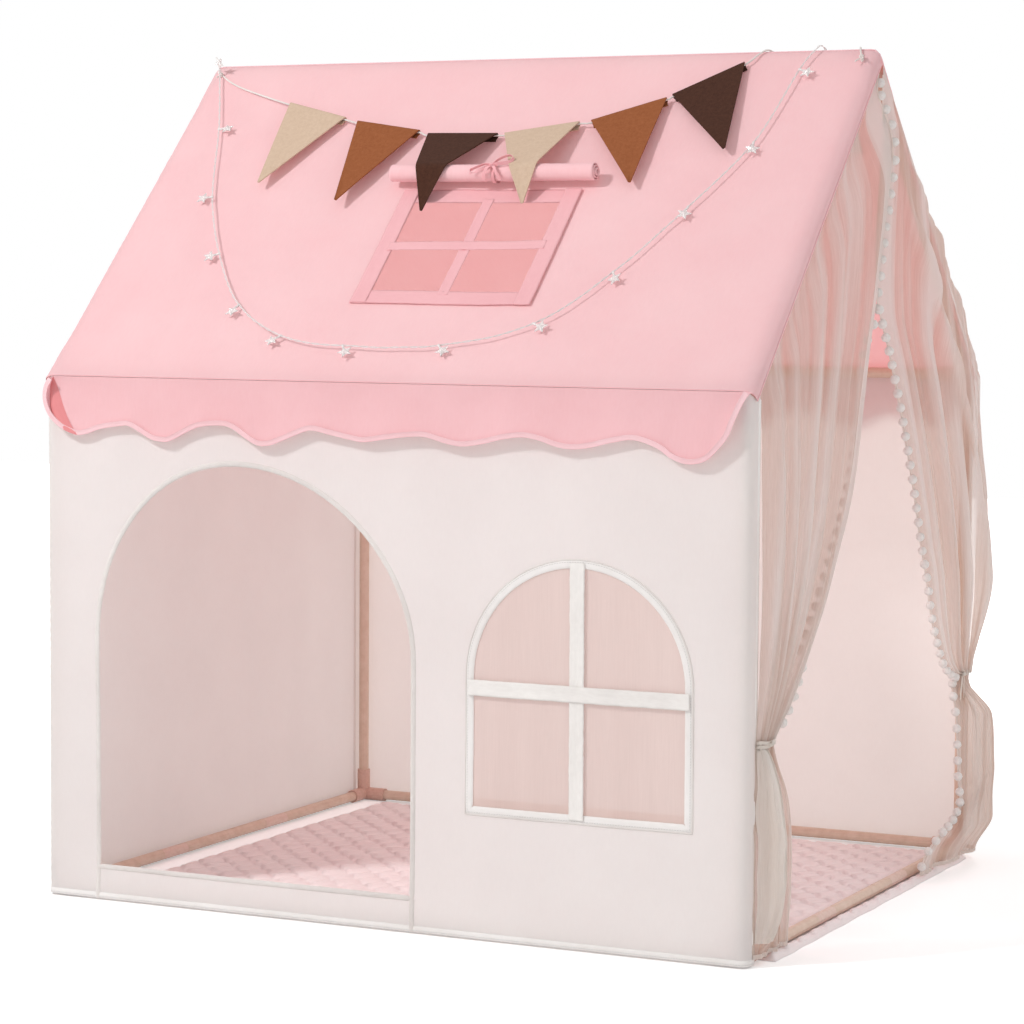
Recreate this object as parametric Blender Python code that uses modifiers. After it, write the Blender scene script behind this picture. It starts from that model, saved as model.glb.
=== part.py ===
"""Kids play tent: a push-fit tube frame under a sewn cloth cover with a gable roof.

The front wall has an arched doorway and an arched net window, the roof a rolled-up
skylight, and the right gable is open behind two tied-back curtains. A quilted mat lies
inside. A bunting and a string of star lights hang on the front of the roof.

X runs to the right along the ridge, Y to the back, Z up, and the floor is at Z = 0.
"""

from math import acos, asin, atan2, cos, hypot, pi, radians, sin, sqrt, tan

import bmesh
import bpy
from mathutils import Matrix, Vector

# Frame, between the axes of its tubes
FRAME_WIDTH = 1.17
FRAME_DEPTH = 1.02
EAVE_RISE = 0.815
RIDGE_RISE = 0.503

# Distance within which points of a mesh are welded into one
WELD = 0.000004

# Tubes and the inline sleeves that join them
TUBE_RADIUS = 0.009
TUBE_WALL = 0.0014
SLEEVE_LENGTH = 0.075
SPIGOT_LENGTH = 0.025
SPIGOT_WALL = 0.0015
SEAT_GAP = 0.0003
POST_SLEEVE_HEIGHT = 0.362
POST_GROOVE = 0.0004
TUBE_STEPS = 12

# Moulded connectors
SOCKET_RADIUS = 0.012
SOCKET_REACH = 0.046
SOCKET_DEPTH = 0.03
ARM_ROOT = 0.0017
ARM_ROLL = 8.0

# Cloth cover
CLOTH = 0.0015
CLOTH_GAP = 0.0006
SEAM_GAP = 0.0004
HEM_HEIGHT = 0.003
WRAP_LENGTH = 0.014
ROOF_DROP = 0.014
ROOF_LIP = 0.0104
CORNER_NOTCH = 0.022
FOLD_STEPS = 4

# Doorway in the front wall
DOOR_WIDTH = 0.557
DOOR_CENTRE = -0.223
DOOR_SILL = 0.055
DOOR_SPRING = 0.411
DOOR_TOP = 0.698
DOOR_LEAN = -0.026
BINDING_WIDTH = 0.008
BINDING_LAP = 0.0015
BINDING_THICKNESS = 0.0032
ARCH_STEPS = 16

# Net window in the front wall
WINDOW_WIDTH = 0.345
WINDOW_CENTRE = 0.328
WINDOW_SILL = 0.2
WINDOW_SPRING = 0.395
WINDOW_TOP = 0.5675
WINDOW_BAR = 0.024
WINDOW_BAR_MARGIN = 0.003
WINDOW_BINDING = 0.011
NET_LAP = 0.012
NET_THICKNESS = 0.0008
TAPE_THICKNESS = 0.0012

# Skylight in the front of the roof
SKYLIGHT_WIDTH = 0.256
SKYLIGHT_LENGTH = 0.2
SKYLIGHT_CENTRE = 0.04
SKYLIGHT_RISE = 0.284
SKYLIGHT_HEM = 0.028
SKYLIGHT_BAR = 0.018
COVER_ROLL_WIDTH = 0.352
COVER_ROLL_RADIUS = 0.0155
COVER_ROLL_TURNS = 2.25
COVER_ROLL_PITCH = 0.0042
COVER_ROLL_RISE = 0.43
TIE_RADIUS = 0.0013
BOW_KNOT_RADIUS = 0.0042
BOW_LOOP_LENGTH = 0.03
BOW_LOOP_WIDTH = 0.016
BOW_TAIL_LENGTH = 0.034
BOW_STEPS = 10

# Valances below the eaves
VALANCE_DEPTH = 0.089
VALANCE_WAVE = 0.011
VALANCE_LOBES = 7
VALANCE_CORNER = 0.075
VALANCE_END_DEPTH = 0.012
VALANCE_FLARE = 0.012
VALANCE_STEPS = 6

# Curtains in the right gable
CURTAIN_CLOTH = 0.001
CURTAIN_FOLDS = 5
FOLD_SAMPLES = 4
CURTAIN_ROWS = 10
TAIL_ROWS = 7
CURTAIN_OVERLAP = 0.035
CURTAIN_SWEEP_HEIGHT = 0.62
CURTAIN_TOP_FOLD = 0.006
CURTAIN_FLAT_SHARE = 0.25
WAIST_HEIGHT = 0.318
WAIST_WIDTH = 0.058
WAIST_OFFSET = 0.058
WAIST_FOLD = 0.01
TAIL_HEM_HEIGHT = 0.022
TAIL_FOLD = 0.024
FRONT_TAIL_WIDTH = 0.19
REAR_TAIL_WIDTH = 0.27
RIBBON_RADIUS = 0.0022
RIBBON_STEPS = 12

# Quilted mat
MAT_LEFT_GAP = 0.0655
MAT_RIGHT_REACH = 0.032
MAT_SIDE_GAP = 0.055
MAT_CHANNELS = 10
MAT_PUFF = 0.012
MAT_STITCH = 0.0045
MAT_EDGE = 0.005
MAT_UNDER_TUBE = 0.0024
MAT_EDGE_WAVE = 0.004
MAT_STITCH_WAVE = 0.012
MAT_WAVES = 6
MAT_COLUMNS = 24
MAT_CHANNEL_ROWS = 3
MAT_TAPER_SHARE = 0.125

# Bunting
CORD_RADIUS = 0.0015
FLAG_WIDTH = 0.124
FLAG_LENGTH = 0.178
FELT = 0.002
FLAG_TIP = 0.003
FLAG_TILT = 1.2
ROLL_CLEARANCE = 0.0012
FLAG_BEND_STEPS = 5
FLAG_HANG_ANGLE = 30.0
BUNTING_LIFT = 0.006
CORD_STRAIGHT = 0.003
CORD_PACE = 0.023

# String of star lights
WIRE_RADIUS = 0.001
WIRE_LIFT = 0.008
STAR_RADIUS = 0.0095
STAR_INNER_RADIUS = 0.0042
STAR_THICKNESS = 0.003
STAR_OFFSET = 0.005
WIRE_PACE = 0.03
BOX_LENGTH = 0.064
BOX_WIDTH = 0.036
BOX_THICKNESS = 0.018
BOX_BEVEL = 0.003
BOX_DROP = 0.15
BOX_ACROSS = 0.5
SWITCH_LENGTH = 0.008
SWITCH_WIDTH = 0.005
SWITCH_STAND = 0.0018
SWITCH_TRAVEL = 0.004
SWITCH_DEPTH = 0.003
SWITCH_GAP = 0.0004

# Places on the front of the roof, as shares of half the frame's width and of the slope
BUNTING_START_SHARES = ((-1.0, 0.985), (-0.9, 0.93))
FLAG_SPAN_SHARES = (
    ((-0.692, 0.856), (-0.483, 0.8)),
    ((-0.44, 0.788), (-0.229, 0.7525)),
    ((-0.196, 0.7415), (0.017, 0.738)),
    ((0.046, 0.7395), (0.2424, 0.7717)),
    ((0.286, 0.777), (0.475, 0.846)),
    ((0.492, 0.857), (0.662, 0.9585)),
)
BUNTING_END_SHARES = (
    (0.69, 0.998),
    (0.705, 1.0),
    (0.725, 1.002),
    (0.8, 1.03),
    (0.88, 1.035),
    (0.94, 1.02),
    (0.958, 1.002),
    (0.967, 1.0),
    (0.975, 0.998),
    (0.99, 0.965),
)
STAR_SHARES = (
    (-0.985, 0.975),
    (-0.883, 0.773),
    (-0.785, 0.545),
    (-0.665, 0.36),
    (-0.52, 0.2),
    (-0.345, 0.108),
    (-0.145, 0.08),
    (0.13, 0.088),
    (0.37, 0.155),
    (0.53, 0.31),
    (0.665, 0.505),
    (0.775, 0.705),
    (0.826, 0.935),
)
WIRE_END_SHARES = ((0.85, 0.998), (0.856, 1.0), (0.86, 1.002), (0.864, 1.06))

# How far each flag's tip lies right of its middle, as shares of its width
FLAG_LEAN_SHARES = (0.17, 0.1, -0.1, -0.09, -0.145, -0.3)

CREAM = (0.90, 0.86, 0.84)
PINK = (0.93, 0.62, 0.64)
ROSE = (0.87, 0.55, 0.56)
NET = (0.87, 0.74, 0.70)
TULLE = (0.86, 0.80, 0.76)
QUILT = (0.88, 0.70, 0.70)
WHITE = (0.92, 0.90, 0.88)
BEECH = (0.80, 0.60, 0.46)
MOULDED = (0.82, 0.68, 0.64)
CLEAR = (0.90, 0.90, 0.90)
FLAG_COLOURS = (
    (0.72, 0.58, 0.40),
    (0.35, 0.13, 0.05),
    (0.09, 0.04, 0.025),
)

HALF_WIDTH = FRAME_WIDTH / 2
HALF_DEPTH = FRAME_DEPTH / 2
BASE_HEIGHT = SOCKET_RADIUS
EAVE_HEIGHT = BASE_HEIGHT + EAVE_RISE
RIDGE_HEIGHT = EAVE_HEIGHT + RIDGE_RISE
SLOPE = hypot(HALF_DEPTH, RIDGE_RISE)
SLOPE_ANGLE = atan2(RIDGE_RISE, HALF_DEPTH)
TUBE_END = SOCKET_REACH - SOCKET_DEPTH + SEAT_GAP
BORE_RADIUS = TUBE_RADIUS - TUBE_WALL
COVER_IN = SOCKET_RADIUS + CLOTH_GAP
COVER_MID = COVER_IN + CLOTH / 2
COVER_OUT = COVER_IN + CLOTH
WINDOW_BAR_HEIGHT = WINDOW_SPRING - WINDOW_BAR / 2 - WINDOW_BAR_MARGIN
MAT_LENGTH = FRAME_WIDTH - MAT_LEFT_GAP + MAT_RIGHT_REACH
MAT_WIDTH = FRAME_DEPTH - 2 * MAT_SIDE_GAP
MAT_SHIFT = (MAT_LEFT_GAP + MAT_RIGHT_REACH) / 2
SIDES = {"front": -1, "rear": 1}
ENDS = {"left": -1, "right": 1}

PARTS = bpy.data.collections.new("kids_play_tent")
CUTTERS = bpy.data.collections.new("cutters")


def clear_scene():
    for obj in list(bpy.data.objects):
        bpy.data.objects.remove(obj)
    for collection in (PARTS, CUTTERS):
        bpy.context.scene.collection.children.link(collection)


def material(name, colour, roughness):
    """A Principled material, made once for each name."""
    found = bpy.data.materials.get(name)
    if found:
        return found
    made = bpy.data.materials.new(name)
    made.use_nodes = True
    shader = made.node_tree.nodes["Principled BSDF"]
    shader.inputs["Base Color"].default_value = (*colour, 1)
    shader.inputs["Roughness"].default_value = roughness
    made.diffuse_color = (*colour, 1)
    return made


def finish(obj, colour, roughness=0.9):
    """Gives a part its own material and smooth shading, and puts it among the parts."""
    obj.data.materials.clear()
    obj.data.materials.append(material(obj.name, colour, roughness))
    if obj.type == "MESH":
        obj.data.shade_smooth()
        obj.data.set_sharp_from_angle(angle=radians(35))
    PARTS.objects.link(obj)
    return obj


def placed(obj, matrix):
    obj.matrix_world = matrix
    return obj


def along(direction, at):
    """A matrix at a point, its Z along a direction."""
    turn = Vector(direction).to_track_quat("Z", "Y").to_matrix().to_4x4()
    return Matrix.Translation(at) @ turn


def solid_mesh(obj):
    """The object's evaluated mesh in world space, with its caps welded."""
    CUTTERS.objects.link(obj)
    bpy.context.view_layer.update()
    graph = bpy.context.evaluated_depsgraph_get()
    mesh = bpy.data.meshes.new_from_object(obj.evaluated_get(graph))
    mesh.transform(obj.matrix_world)
    shape = bmesh.new()
    shape.from_mesh(mesh)
    bmesh.ops.remove_doubles(shape, verts=shape.verts, dist=WELD)
    shape.to_mesh(mesh)
    shape.free()
    bpy.data.objects.remove(obj)
    return mesh


def helper(name, mesh):
    """A hidden object that cuts or joins."""
    obj = bpy.data.objects.new(name, mesh)
    obj.hide_render = True
    obj.display_type = "WIRE"
    CUTTERS.objects.link(obj)
    return obj


def boolean(obj, operation, mesh):
    """Adds a Boolean modifier with a helper made from the mesh."""
    modifier = obj.modifiers.new(operation.lower(), "BOOLEAN")
    modifier.operation = operation
    modifier.object = helper(f"{obj.name}_{operation.lower()}_{len(obj.modifiers)}", mesh)
    return obj


def fused(name, pieces):
    """One mesh object from overlapping pieces, joined by unions."""
    obj = bpy.data.objects.new(name, solid_mesh(pieces[0]))
    for piece in pieces[1:]:
        boolean(obj, "UNION", solid_mesh(piece))
    return obj


def turned(name, profile):
    """A closed ring profile of (radius, height) points turned about Z."""
    mesh = bpy.data.meshes.new(name)
    count = len(profile)
    mesh.from_pydata(
        [(radius, 0, height) for radius, height in profile],
        [(i, (i + 1) % count) for i in range(count)],
        [],
    )
    obj = bpy.data.objects.new(name, mesh)
    screw = obj.modifiers.new("turn", "SCREW")
    screw.steps = screw.render_steps = TUBE_STEPS
    screw.use_merge_vertices = True
    screw.merge_threshold = WELD
    screw.use_smooth_shade = True
    return obj


def flat_piece(name, outlines, thickness):
    """A flat plate in its XY plane from outlines, the first outside and the rest holes."""
    curve = bpy.data.curves.new(name, "CURVE")
    curve.dimensions = "2D"
    curve.fill_mode = "BOTH"
    curve.extrude = thickness / 2
    for outline in outlines:
        spline = curve.splines.new("POLY")
        spline.points.add(len(outline) - 1)
        for point, (x, y) in zip(spline.points, outline):
            point.co = (x, y, 0, 1)
        spline.use_cyclic_u = True
    return bpy.data.objects.new(name, curve)


def rod(name, points, radius, closed=False):
    """A round rod through the points."""
    curve = bpy.data.curves.new(name, "CURVE")
    curve.dimensions = "3D"
    curve.bevel_depth = radius
    curve.bevel_resolution = 2
    curve.use_fill_caps = not closed
    spline = curve.splines.new("POLY")
    spline.points.add(len(points) - 1)
    for point, place in zip(spline.points, points):
        point.co = (*place, 1)
    spline.use_cyclic_u = closed
    return bpy.data.objects.new(name, curve)


def sheet(name, across, rows, place, thickness, kept=None):
    """A cloth sheet over a grid, each point placed by place(across, row).

    kept(column, row) says which of the grid's faces the cloth has.
    """
    grid = bmesh.new()
    bmesh.ops.create_grid(grid, x_segments=len(across) - 1, y_segments=len(rows) - 1)
    grid.verts.ensure_lookup_table()
    for index, vertex in enumerate(grid.verts):
        row, column = divmod(index, len(across))
        vertex.co = place(across[column], rows[row])
    if kept:
        cut = [
            face
            for face in grid.faces
            if not kept(
                min(vertex.index % len(across) for vertex in face.verts),
                min(vertex.index // len(across) for vertex in face.verts),
            )
        ]
        bmesh.ops.delete(grid, geom=cut, context="FACES")
    mesh = bpy.data.meshes.new(name)
    grid.to_mesh(mesh)
    grid.free()
    obj = bpy.data.objects.new(name, mesh)
    solidify = obj.modifiers.new("thickness", "SOLIDIFY")
    solidify.thickness = thickness
    solidify.offset = 0
    solidify.use_even_offset = True
    return obj


def smooth_route(points, pace):
    """A Catmull-Rom curve through the points, with steps of about one pace between them."""
    points = [Vector(point) for point in points]
    ends = [2 * points[0] - points[1], *points, 2 * points[-1] - points[-2]]
    route = []
    for a, b, c, d in zip(ends, ends[1:], ends[2:], ends[3:]):
        steps = max(1, round((c - b).length / pace))
        for step in range(steps):
            t = step / steps
            bend = (2 * a - 5 * b + 4 * c - d) * t**2 + (3 * b - a - 3 * c + d) * t**3
            route.append((2 * b + (c - a) * t + bend) / 2)
    return [*route, points[-1]]


def roof_normal(side):
    """The outward normal of a side of the roof."""
    return Vector((0, side * sin(SLOPE_ANGLE), cos(SLOPE_ANGLE)))


def roof_point(x, run, lift, side=-1):
    """A point over the roof's cloth, at a run up the slope from the eave.

    A run past the ridge goes down the other side.
    """
    if run > SLOPE:
        run = 2 * SLOPE - run
        side = -side
    if abs(SLOPE - run) < SEAM_GAP:
        return Vector((x, 0, RIDGE_HEIGHT + COVER_OUT + lift))
    eave = Vector((x, side * HALF_DEPTH, EAVE_HEIGHT))
    up = Vector((0, -side * cos(SLOPE_ANGLE), sin(SLOPE_ANGLE)))
    return eave + run * up + (COVER_OUT + lift) * roof_normal(side)


def roof_matrix(x, run, lift, side=-1, turn=0.0):
    """A frame on the roof: Z off the cloth, X along the ridge turned about Z, Y up the slope."""
    up = Vector((0, -side * cos(SLOPE_ANGLE), sin(SLOPE_ANGLE)))
    normal = roof_normal(side)
    basis = Matrix((up.cross(normal), up, normal)).transposed().to_4x4()
    return Matrix.Translation(roof_point(x, run, lift, side)) @ basis @ Matrix.Rotation(turn, 4, "Z")


def tube(name, start, end, start_trim=TUBE_END, end_trim=TUBE_END, sleeve_at=None):
    """A hollow tube between two points, cut short where it seats.

    sleeve_at is the place of a flush sleeve's middle, marked by a groove at each of its ends.
    """
    start, end = Vector(start), Vector(end)
    direction = (end - start).normalized()
    start = start + direction * start_trim
    length = (end - start).length - end_trim
    grooves = []
    if sleeve_at is not None:
        middle = sleeve_at - start_trim
        for height in (middle + SLEEVE_LENGTH / 2, middle - SLEEVE_LENGTH / 2):
            grooves += [
                (TUBE_RADIUS, height + POST_GROOVE),
                (TUBE_RADIUS - POST_GROOVE, height),
                (TUBE_RADIUS, height - POST_GROOVE),
            ]
    profile = [
        (TUBE_RADIUS, length),
        *grooves,
        (TUBE_RADIUS, 0),
        (BORE_RADIUS, 0),
        (BORE_RADIUS, length),
    ]
    return finish(placed(turned(name, profile), along(direction, start)), BEECH, 0.55)


def inline_sleeve(name, centre, direction):
    """A flush collar with a spigot at each end that plugs into the tubes."""
    collar = SLEEVE_LENGTH / 2
    reach = collar + SPIGOT_LENGTH
    spigot = BORE_RADIUS * cos(pi / TUBE_STEPS) - SEAT_GAP
    bore = spigot - SPIGOT_WALL
    profile = [
        (spigot, reach),
        (spigot, collar),
        (TUBE_RADIUS, collar),
        (TUBE_RADIUS, -collar),
        (spigot, -collar),
        (spigot, -reach),
        (bore, -reach),
        (bore, reach),
    ]
    return finish(placed(turned(name, profile), along(direction, centre)), MOULDED, 0.45)


def cylinder(name, radius, low, high, matrix):
    """A plain cylinder along the matrix's Z, between two heights on it."""
    shape = bmesh.new()
    bmesh.ops.create_cone(
        shape,
        cap_ends=True,
        segments=TUBE_STEPS,
        radius1=radius,
        radius2=radius,
        depth=high - low,
        matrix=Matrix.Translation((0, 0, (high + low) / 2)),
    )
    mesh = bpy.data.meshes.new(name)
    shape.to_mesh(mesh)
    shape.free()
    return placed(bpy.data.objects.new(name, mesh), matrix)


def ball(name, radius, centre):
    shape = bmesh.new()
    bmesh.ops.create_uvsphere(shape, u_segments=TUBE_STEPS, v_segments=TUBE_STEPS // 2, radius=radius)
    mesh = bpy.data.meshes.new(name)
    shape.to_mesh(mesh)
    shape.free()
    return placed(bpy.data.objects.new(name, mesh), Matrix.Translation(centre))


def connector(name, centre, directions):
    """A moulded connector with a socket along each direction."""
    frames = [
        along(direction, centre) @ Matrix.Rotation(radians(ARM_ROLL * index), 4, "Z")
        for index, direction in enumerate(directions)
    ]
    pieces = [
        cylinder(f"{name}_arm", SOCKET_RADIUS, -ARM_ROOT, SOCKET_REACH, frame) for frame in frames
    ]
    obj = fused(name, pieces)
    bore = (TUBE_RADIUS + SEAT_GAP) / cos(pi / TUBE_STEPS)
    for frame in frames:
        floor = SOCKET_REACH - SOCKET_DEPTH
        cutter = cylinder(f"{name}_bore", bore, floor, SOCKET_REACH + SOCKET_DEPTH, frame)
        boolean(obj, "DIFFERENCE", solid_mesh(cutter))
    return finish(obj, MOULDED, 0.45)


def corner(end, side, height):
    return Vector((end * HALF_WIDTH, side * HALF_DEPTH, height))


def build_frame():
    """The tubes, sleeves and connectors."""
    for end_name, end in ENDS.items():
        inward = (-end, 0, 0)
        ridge = Vector((end * HALF_WIDTH, 0, RIDGE_HEIGHT))
        slopes = [corner(end, side, EAVE_HEIGHT) - ridge for side in SIDES.values()]
        connector(f"ridge_connector_{end_name}", ridge, [inward, *slopes])
        for side_name, side in SIDES.items():
            label = f"{side_name}_{end_name}"
            base = corner(end, side, BASE_HEIGHT)
            eave = corner(end, side, EAVE_HEIGHT)
            connector(f"base_corner_{label}", base, [inward, (0, -side, 0), (0, 0, 1)])
            connector(f"eave_connector_{label}", eave, [inward, (0, 0, -1), ridge - eave])
            tube(f"post_{label}", base, eave, sleeve_at=POST_SLEEVE_HEIGHT - BASE_HEIGHT)
            tube(f"rafter_{label}", eave, ridge)
        base_side(end_name, end)
    for side_name, side in SIDES.items():
        for label, height in (("base_tube", BASE_HEIGHT), ("eave_rail", EAVE_HEIGHT)):
            tube(f"{label}_{side_name}", corner(-1, side, height), corner(1, side, height))
    left, right = (Vector((end * HALF_WIDTH, 0, RIDGE_HEIGHT)) for end in ENDS.values())
    tube("ridge_pole", left, right)


def base_side(end_name, end):
    """The three tubes and two sleeves of a base side."""
    front, rear = (corner(end, side, BASE_HEIGHT) for side in SIDES.values())
    third = (rear - front) / 3
    stops = [front, front + third, rear - third, rear]
    shoulder = SLEEVE_LENGTH / 2 + SEAT_GAP
    trims = [(TUBE_END, shoulder), (shoulder, shoulder), (shoulder, TUBE_END)]
    for index, label in enumerate(("front", "middle", "rear")):
        tube(f"base_tube_{end_name}_{label}", stops[index], stops[index + 1], *trims[index])
    for label, stop in zip(SIDES, stops[1:3]):
        inline_sleeve(f"base_sleeve_{end_name}_{label}", stop, third)


def quarter(steps=FOLD_STEPS):
    """Angles of a quarter turn, both ends included."""
    return [pi / 2 * step / steps for step in range(steps + 1)]


def wall_plan(side):
    """The plan of a long wall, wrapped round the post at each end."""
    right = [
        (HALF_WIDTH + COVER_MID * sin(angle), side * (HALF_DEPTH + COVER_MID * cos(angle)))
        for angle in quarter()
    ]
    right.append((HALF_WIDTH + COVER_MID, side * (HALF_DEPTH - WRAP_LENGTH)))
    return [(-x, y) for x, y in reversed(right)] + right


def long_wall(name, side):
    plan = wall_plan(side)
    under_roof = COVER_IN / cos(SLOPE_ANGLE) - COVER_OUT * tan(SLOPE_ANGLE)
    top = EAVE_HEIGHT + under_roof - SEAM_GAP
    heights = [HEM_HEIGHT, top - CORNER_NOTCH, top]
    last = len(plan) - 1
    middle = last // 2

    def kept(column, row):
        return row == 0 or column == middle

    return sheet(name, plan, heights, lambda at, z: Vector((*at, z)), CLOTH, kept)


def arch_outline(width, sill, spring, top, centre=0.0, lean=0.0):
    """An arch with upright sides and a half-ellipse top, counter-clockwise from low left.

    lean is how far the top lies right of the middle.
    """
    half = width / 2
    points = [(centre - half, sill), (centre + half, sill)]
    for step in range(ARCH_STEPS + 1):
        angle = pi * step / ARCH_STEPS
        x = centre + half * cos(angle) + lean * sin(angle) ** 2
        points.append((x, spring + (top - spring) * sin(angle)))
    return points


def front_matrix(offset):
    """The front wall's plane: X to the right, Y up and Z out of the front, at an offset outwards."""
    turn = Matrix.Rotation(pi / 2, 4, "X")
    return Matrix.Translation((0, -(HALF_DEPTH + COVER_MID + offset), 0)) @ turn


def door_arch(extra):
    return arch_outline(
        DOOR_WIDTH + 2 * extra,
        DOOR_SILL - extra,
        DOOR_SPRING,
        DOOR_TOP + extra,
        DOOR_CENTRE,
        DOOR_LEAN,
    )


def window_arch(extra):
    return arch_outline(
        WINDOW_WIDTH + 2 * extra,
        WINDOW_SILL - extra,
        WINDOW_SPRING,
        WINDOW_TOP + extra,
        WINDOW_CENTRE,
    )


def front_wall():
    """The front wall with its doorway and window, and the binding round the doorway."""
    wall = long_wall("front_wall", SIDES["front"])
    for arch in (door_arch(0), window_arch(0)):
        cutter = placed(flat_piece("opening", [arch], CORNER_NOTCH), front_matrix(0))
        boolean(wall, "DIFFERENCE", solid_mesh(cutter))
    outlines = [door_arch(BINDING_WIDTH), door_arch(-BINDING_LAP)]
    binding = placed(flat_piece("binding", outlines, BINDING_THICKNESS), front_matrix(0))
    boolean(wall, "UNION", solid_mesh(binding))
    finish(wall, CREAM)


def window_pane(side, upper):
    """One pane between the window's bars and its binding."""
    half = WINDOW_WIDTH / 2 - BINDING_LAP
    bar = WINDOW_BAR / 2
    if not upper:
        low, high = WINDOW_SILL + BINDING_LAP, WINDOW_BAR_HEIGHT - bar
        pane = [(bar, low), (half, low), (half, high), (bar, high)]
    else:
        rise = WINDOW_TOP - WINDOW_SPRING - BINDING_LAP
        last = acos(bar / half)
        steps = ARCH_STEPS // 2
        pane = [(bar, WINDOW_BAR_HEIGHT + bar), (half, WINDOW_BAR_HEIGHT + bar)]
        for step in range(steps + 1):
            angle = last * step / steps
            pane.append((half * cos(angle), WINDOW_SPRING + rise * sin(angle)))
    return [(WINDOW_CENTRE + side * x, y) for x, y in pane]


def window():
    """The net behind the window opening and the taped bars in front of it."""
    behind = -(CLOTH / 2 + SEAT_GAP + NET_THICKNESS / 2)
    net = flat_piece("window_net", [window_arch(NET_LAP)], NET_THICKNESS)
    finish(placed(net, front_matrix(behind)), NET)
    before = CLOTH / 2 + SEAT_GAP + TAPE_THICKNESS / 2
    panes = [window_pane(side, upper) for side in ENDS.values() for upper in (False, True)]
    trim = flat_piece("window_trim", [window_arch(WINDOW_BINDING), *panes], TAPE_THICKNESS)
    finish(placed(trim, front_matrix(before)), WHITE)


def left_gable_wall():
    """The closed gable: a five-sided cloth between the long walls' wraps."""
    edge = HALF_DEPTH - WRAP_LENGTH - SEAM_GAP
    drop = (ROOF_DROP + SEAM_GAP) / cos(SLOPE_ANGLE)
    peak = RIDGE_HEIGHT - drop
    shoulder = peak - edge * RIDGE_RISE / HALF_DEPTH
    outline = [(-edge, HEM_HEIGHT), (edge, HEM_HEIGHT), (edge, shoulder), (0, peak), (-edge, shoulder)]
    wall = flat_piece("left_gable_wall", [outline], CLOTH)
    turn = Matrix.Rotation(pi / 2, 4, "Z") @ Matrix.Rotation(pi / 2, 4, "X")
    finish(placed(wall, Matrix.Translation((-(HALF_WIDTH + COVER_MID), 0, 0)) @ turn), CREAM)


def roof_panel(name, side):
    """One slope of the roof, folded down over the rafters and up to the ridge's top."""
    right = [
        (HALF_WIDTH + COVER_MID * sin(angle), COVER_MID * cos(angle)) for angle in quarter()
    ]
    right.append((HALF_WIDTH + COVER_MID, -ROOF_DROP))
    section = [(-x, n) for x, n in reversed(right)] + right
    middle = (len(section) - 1) // 2
    top_angle = pi / 2 - SEAM_GAP / COVER_MID
    start_angle = pi / 2 - SLOPE_ANGLE
    turns = [
        start_angle + (top_angle - start_angle) * step / FOLD_STEPS
        for step in range(1, FOLD_STEPS + 1)
    ]
    stations = [(-ROOF_LIP, start_angle), (SLOPE, start_angle)]
    stations += [(SLOPE, angle) for angle in turns]
    up = Vector((0, -side * cos(SLOPE_ANGLE), sin(SLOPE_ANGLE)))

    def place(at, station):
        x, out = at
        run, angle = station
        run = min(run, SLOPE + out * tan(SLOPE_ANGLE) - SEAM_GAP / cos(SLOPE_ANGLE))
        normal = Vector((0, side * cos(angle), sin(angle)))
        return Vector((x, side * HALF_DEPTH, EAVE_HEIGHT)) + run * up + out * normal

    def kept(column, row):
        return row == 0 or column == middle

    return sheet(name, section, stations, place, CLOTH, kept)


def roof():
    """Both slopes, with the skylight cut in the front one."""
    front = roof_panel("roof_front", SIDES["front"])
    width, length = SKYLIGHT_WIDTH / 2, SKYLIGHT_LENGTH / 2
    outline = [(-width, -length), (width, -length), (width, length), (-width, length)]
    cutter = flat_piece("opening", [outline], CORNER_NOTCH)
    placed(cutter, roof_matrix(SKYLIGHT_CENTRE, SKYLIGHT_RISE, 0))
    boolean(front, "DIFFERENCE", solid_mesh(cutter))
    finish(front, PINK)
    finish(roof_panel("roof_rear", SIDES["rear"]), PINK)


def skylight():
    """The hem and bars of the skylight, and its cover rolled up above it with a tied bow."""
    width, length = SKYLIGHT_WIDTH / 2, SKYLIGHT_LENGTH / 2
    bar, lap = SKYLIGHT_BAR / 2, BINDING_LAP
    reach_x, reach_y = width + SKYLIGHT_HEM, length + SKYLIGHT_HEM
    outer = [(-reach_x, -reach_y), (reach_x, -reach_y), (reach_x, reach_y), (-reach_x, reach_y)]
    panes = [
        [
            (x * bar, y * bar),
            (x * (width - lap), y * bar),
            (x * (width - lap), y * (length - lap)),
            (x * bar, y * (length - lap)),
        ]
        for x in (-1, 1)
        for y in (-1, 1)
    ]
    trim = flat_piece("skylight_trim", [outer, *panes], TAPE_THICKNESS)
    lift = SEAT_GAP + TAPE_THICKNESS / 2
    finish(placed(trim, roof_matrix(SKYLIGHT_CENTRE, SKYLIGHT_RISE, lift)), ROSE)

    steps = round(COVER_ROLL_TURNS * TUBE_STEPS)
    half = COVER_ROLL_WIDTH / 2

    def place(x, step):
        turn = step / TUBE_STEPS
        radius = COVER_ROLL_RADIUS - COVER_ROLL_PITCH * turn
        angle = 2 * pi * turn - pi / 2
        return Vector((x, radius * cos(angle), radius * sin(angle)))

    roll = sheet("skylight_cover_roll", [-half, half], range(steps + 1), place, CLOTH)
    centre_lift = COVER_ROLL_RADIUS + CLOTH / 2 + SEAT_GAP
    finish(placed(roll, roof_matrix(SKYLIGHT_CENTRE, COVER_ROLL_RISE, centre_lift)), PINK)
    tie_bow(roof_matrix(SKYLIGHT_CENTRE, COVER_ROLL_RISE, centre_lift), centre_lift)


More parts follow.
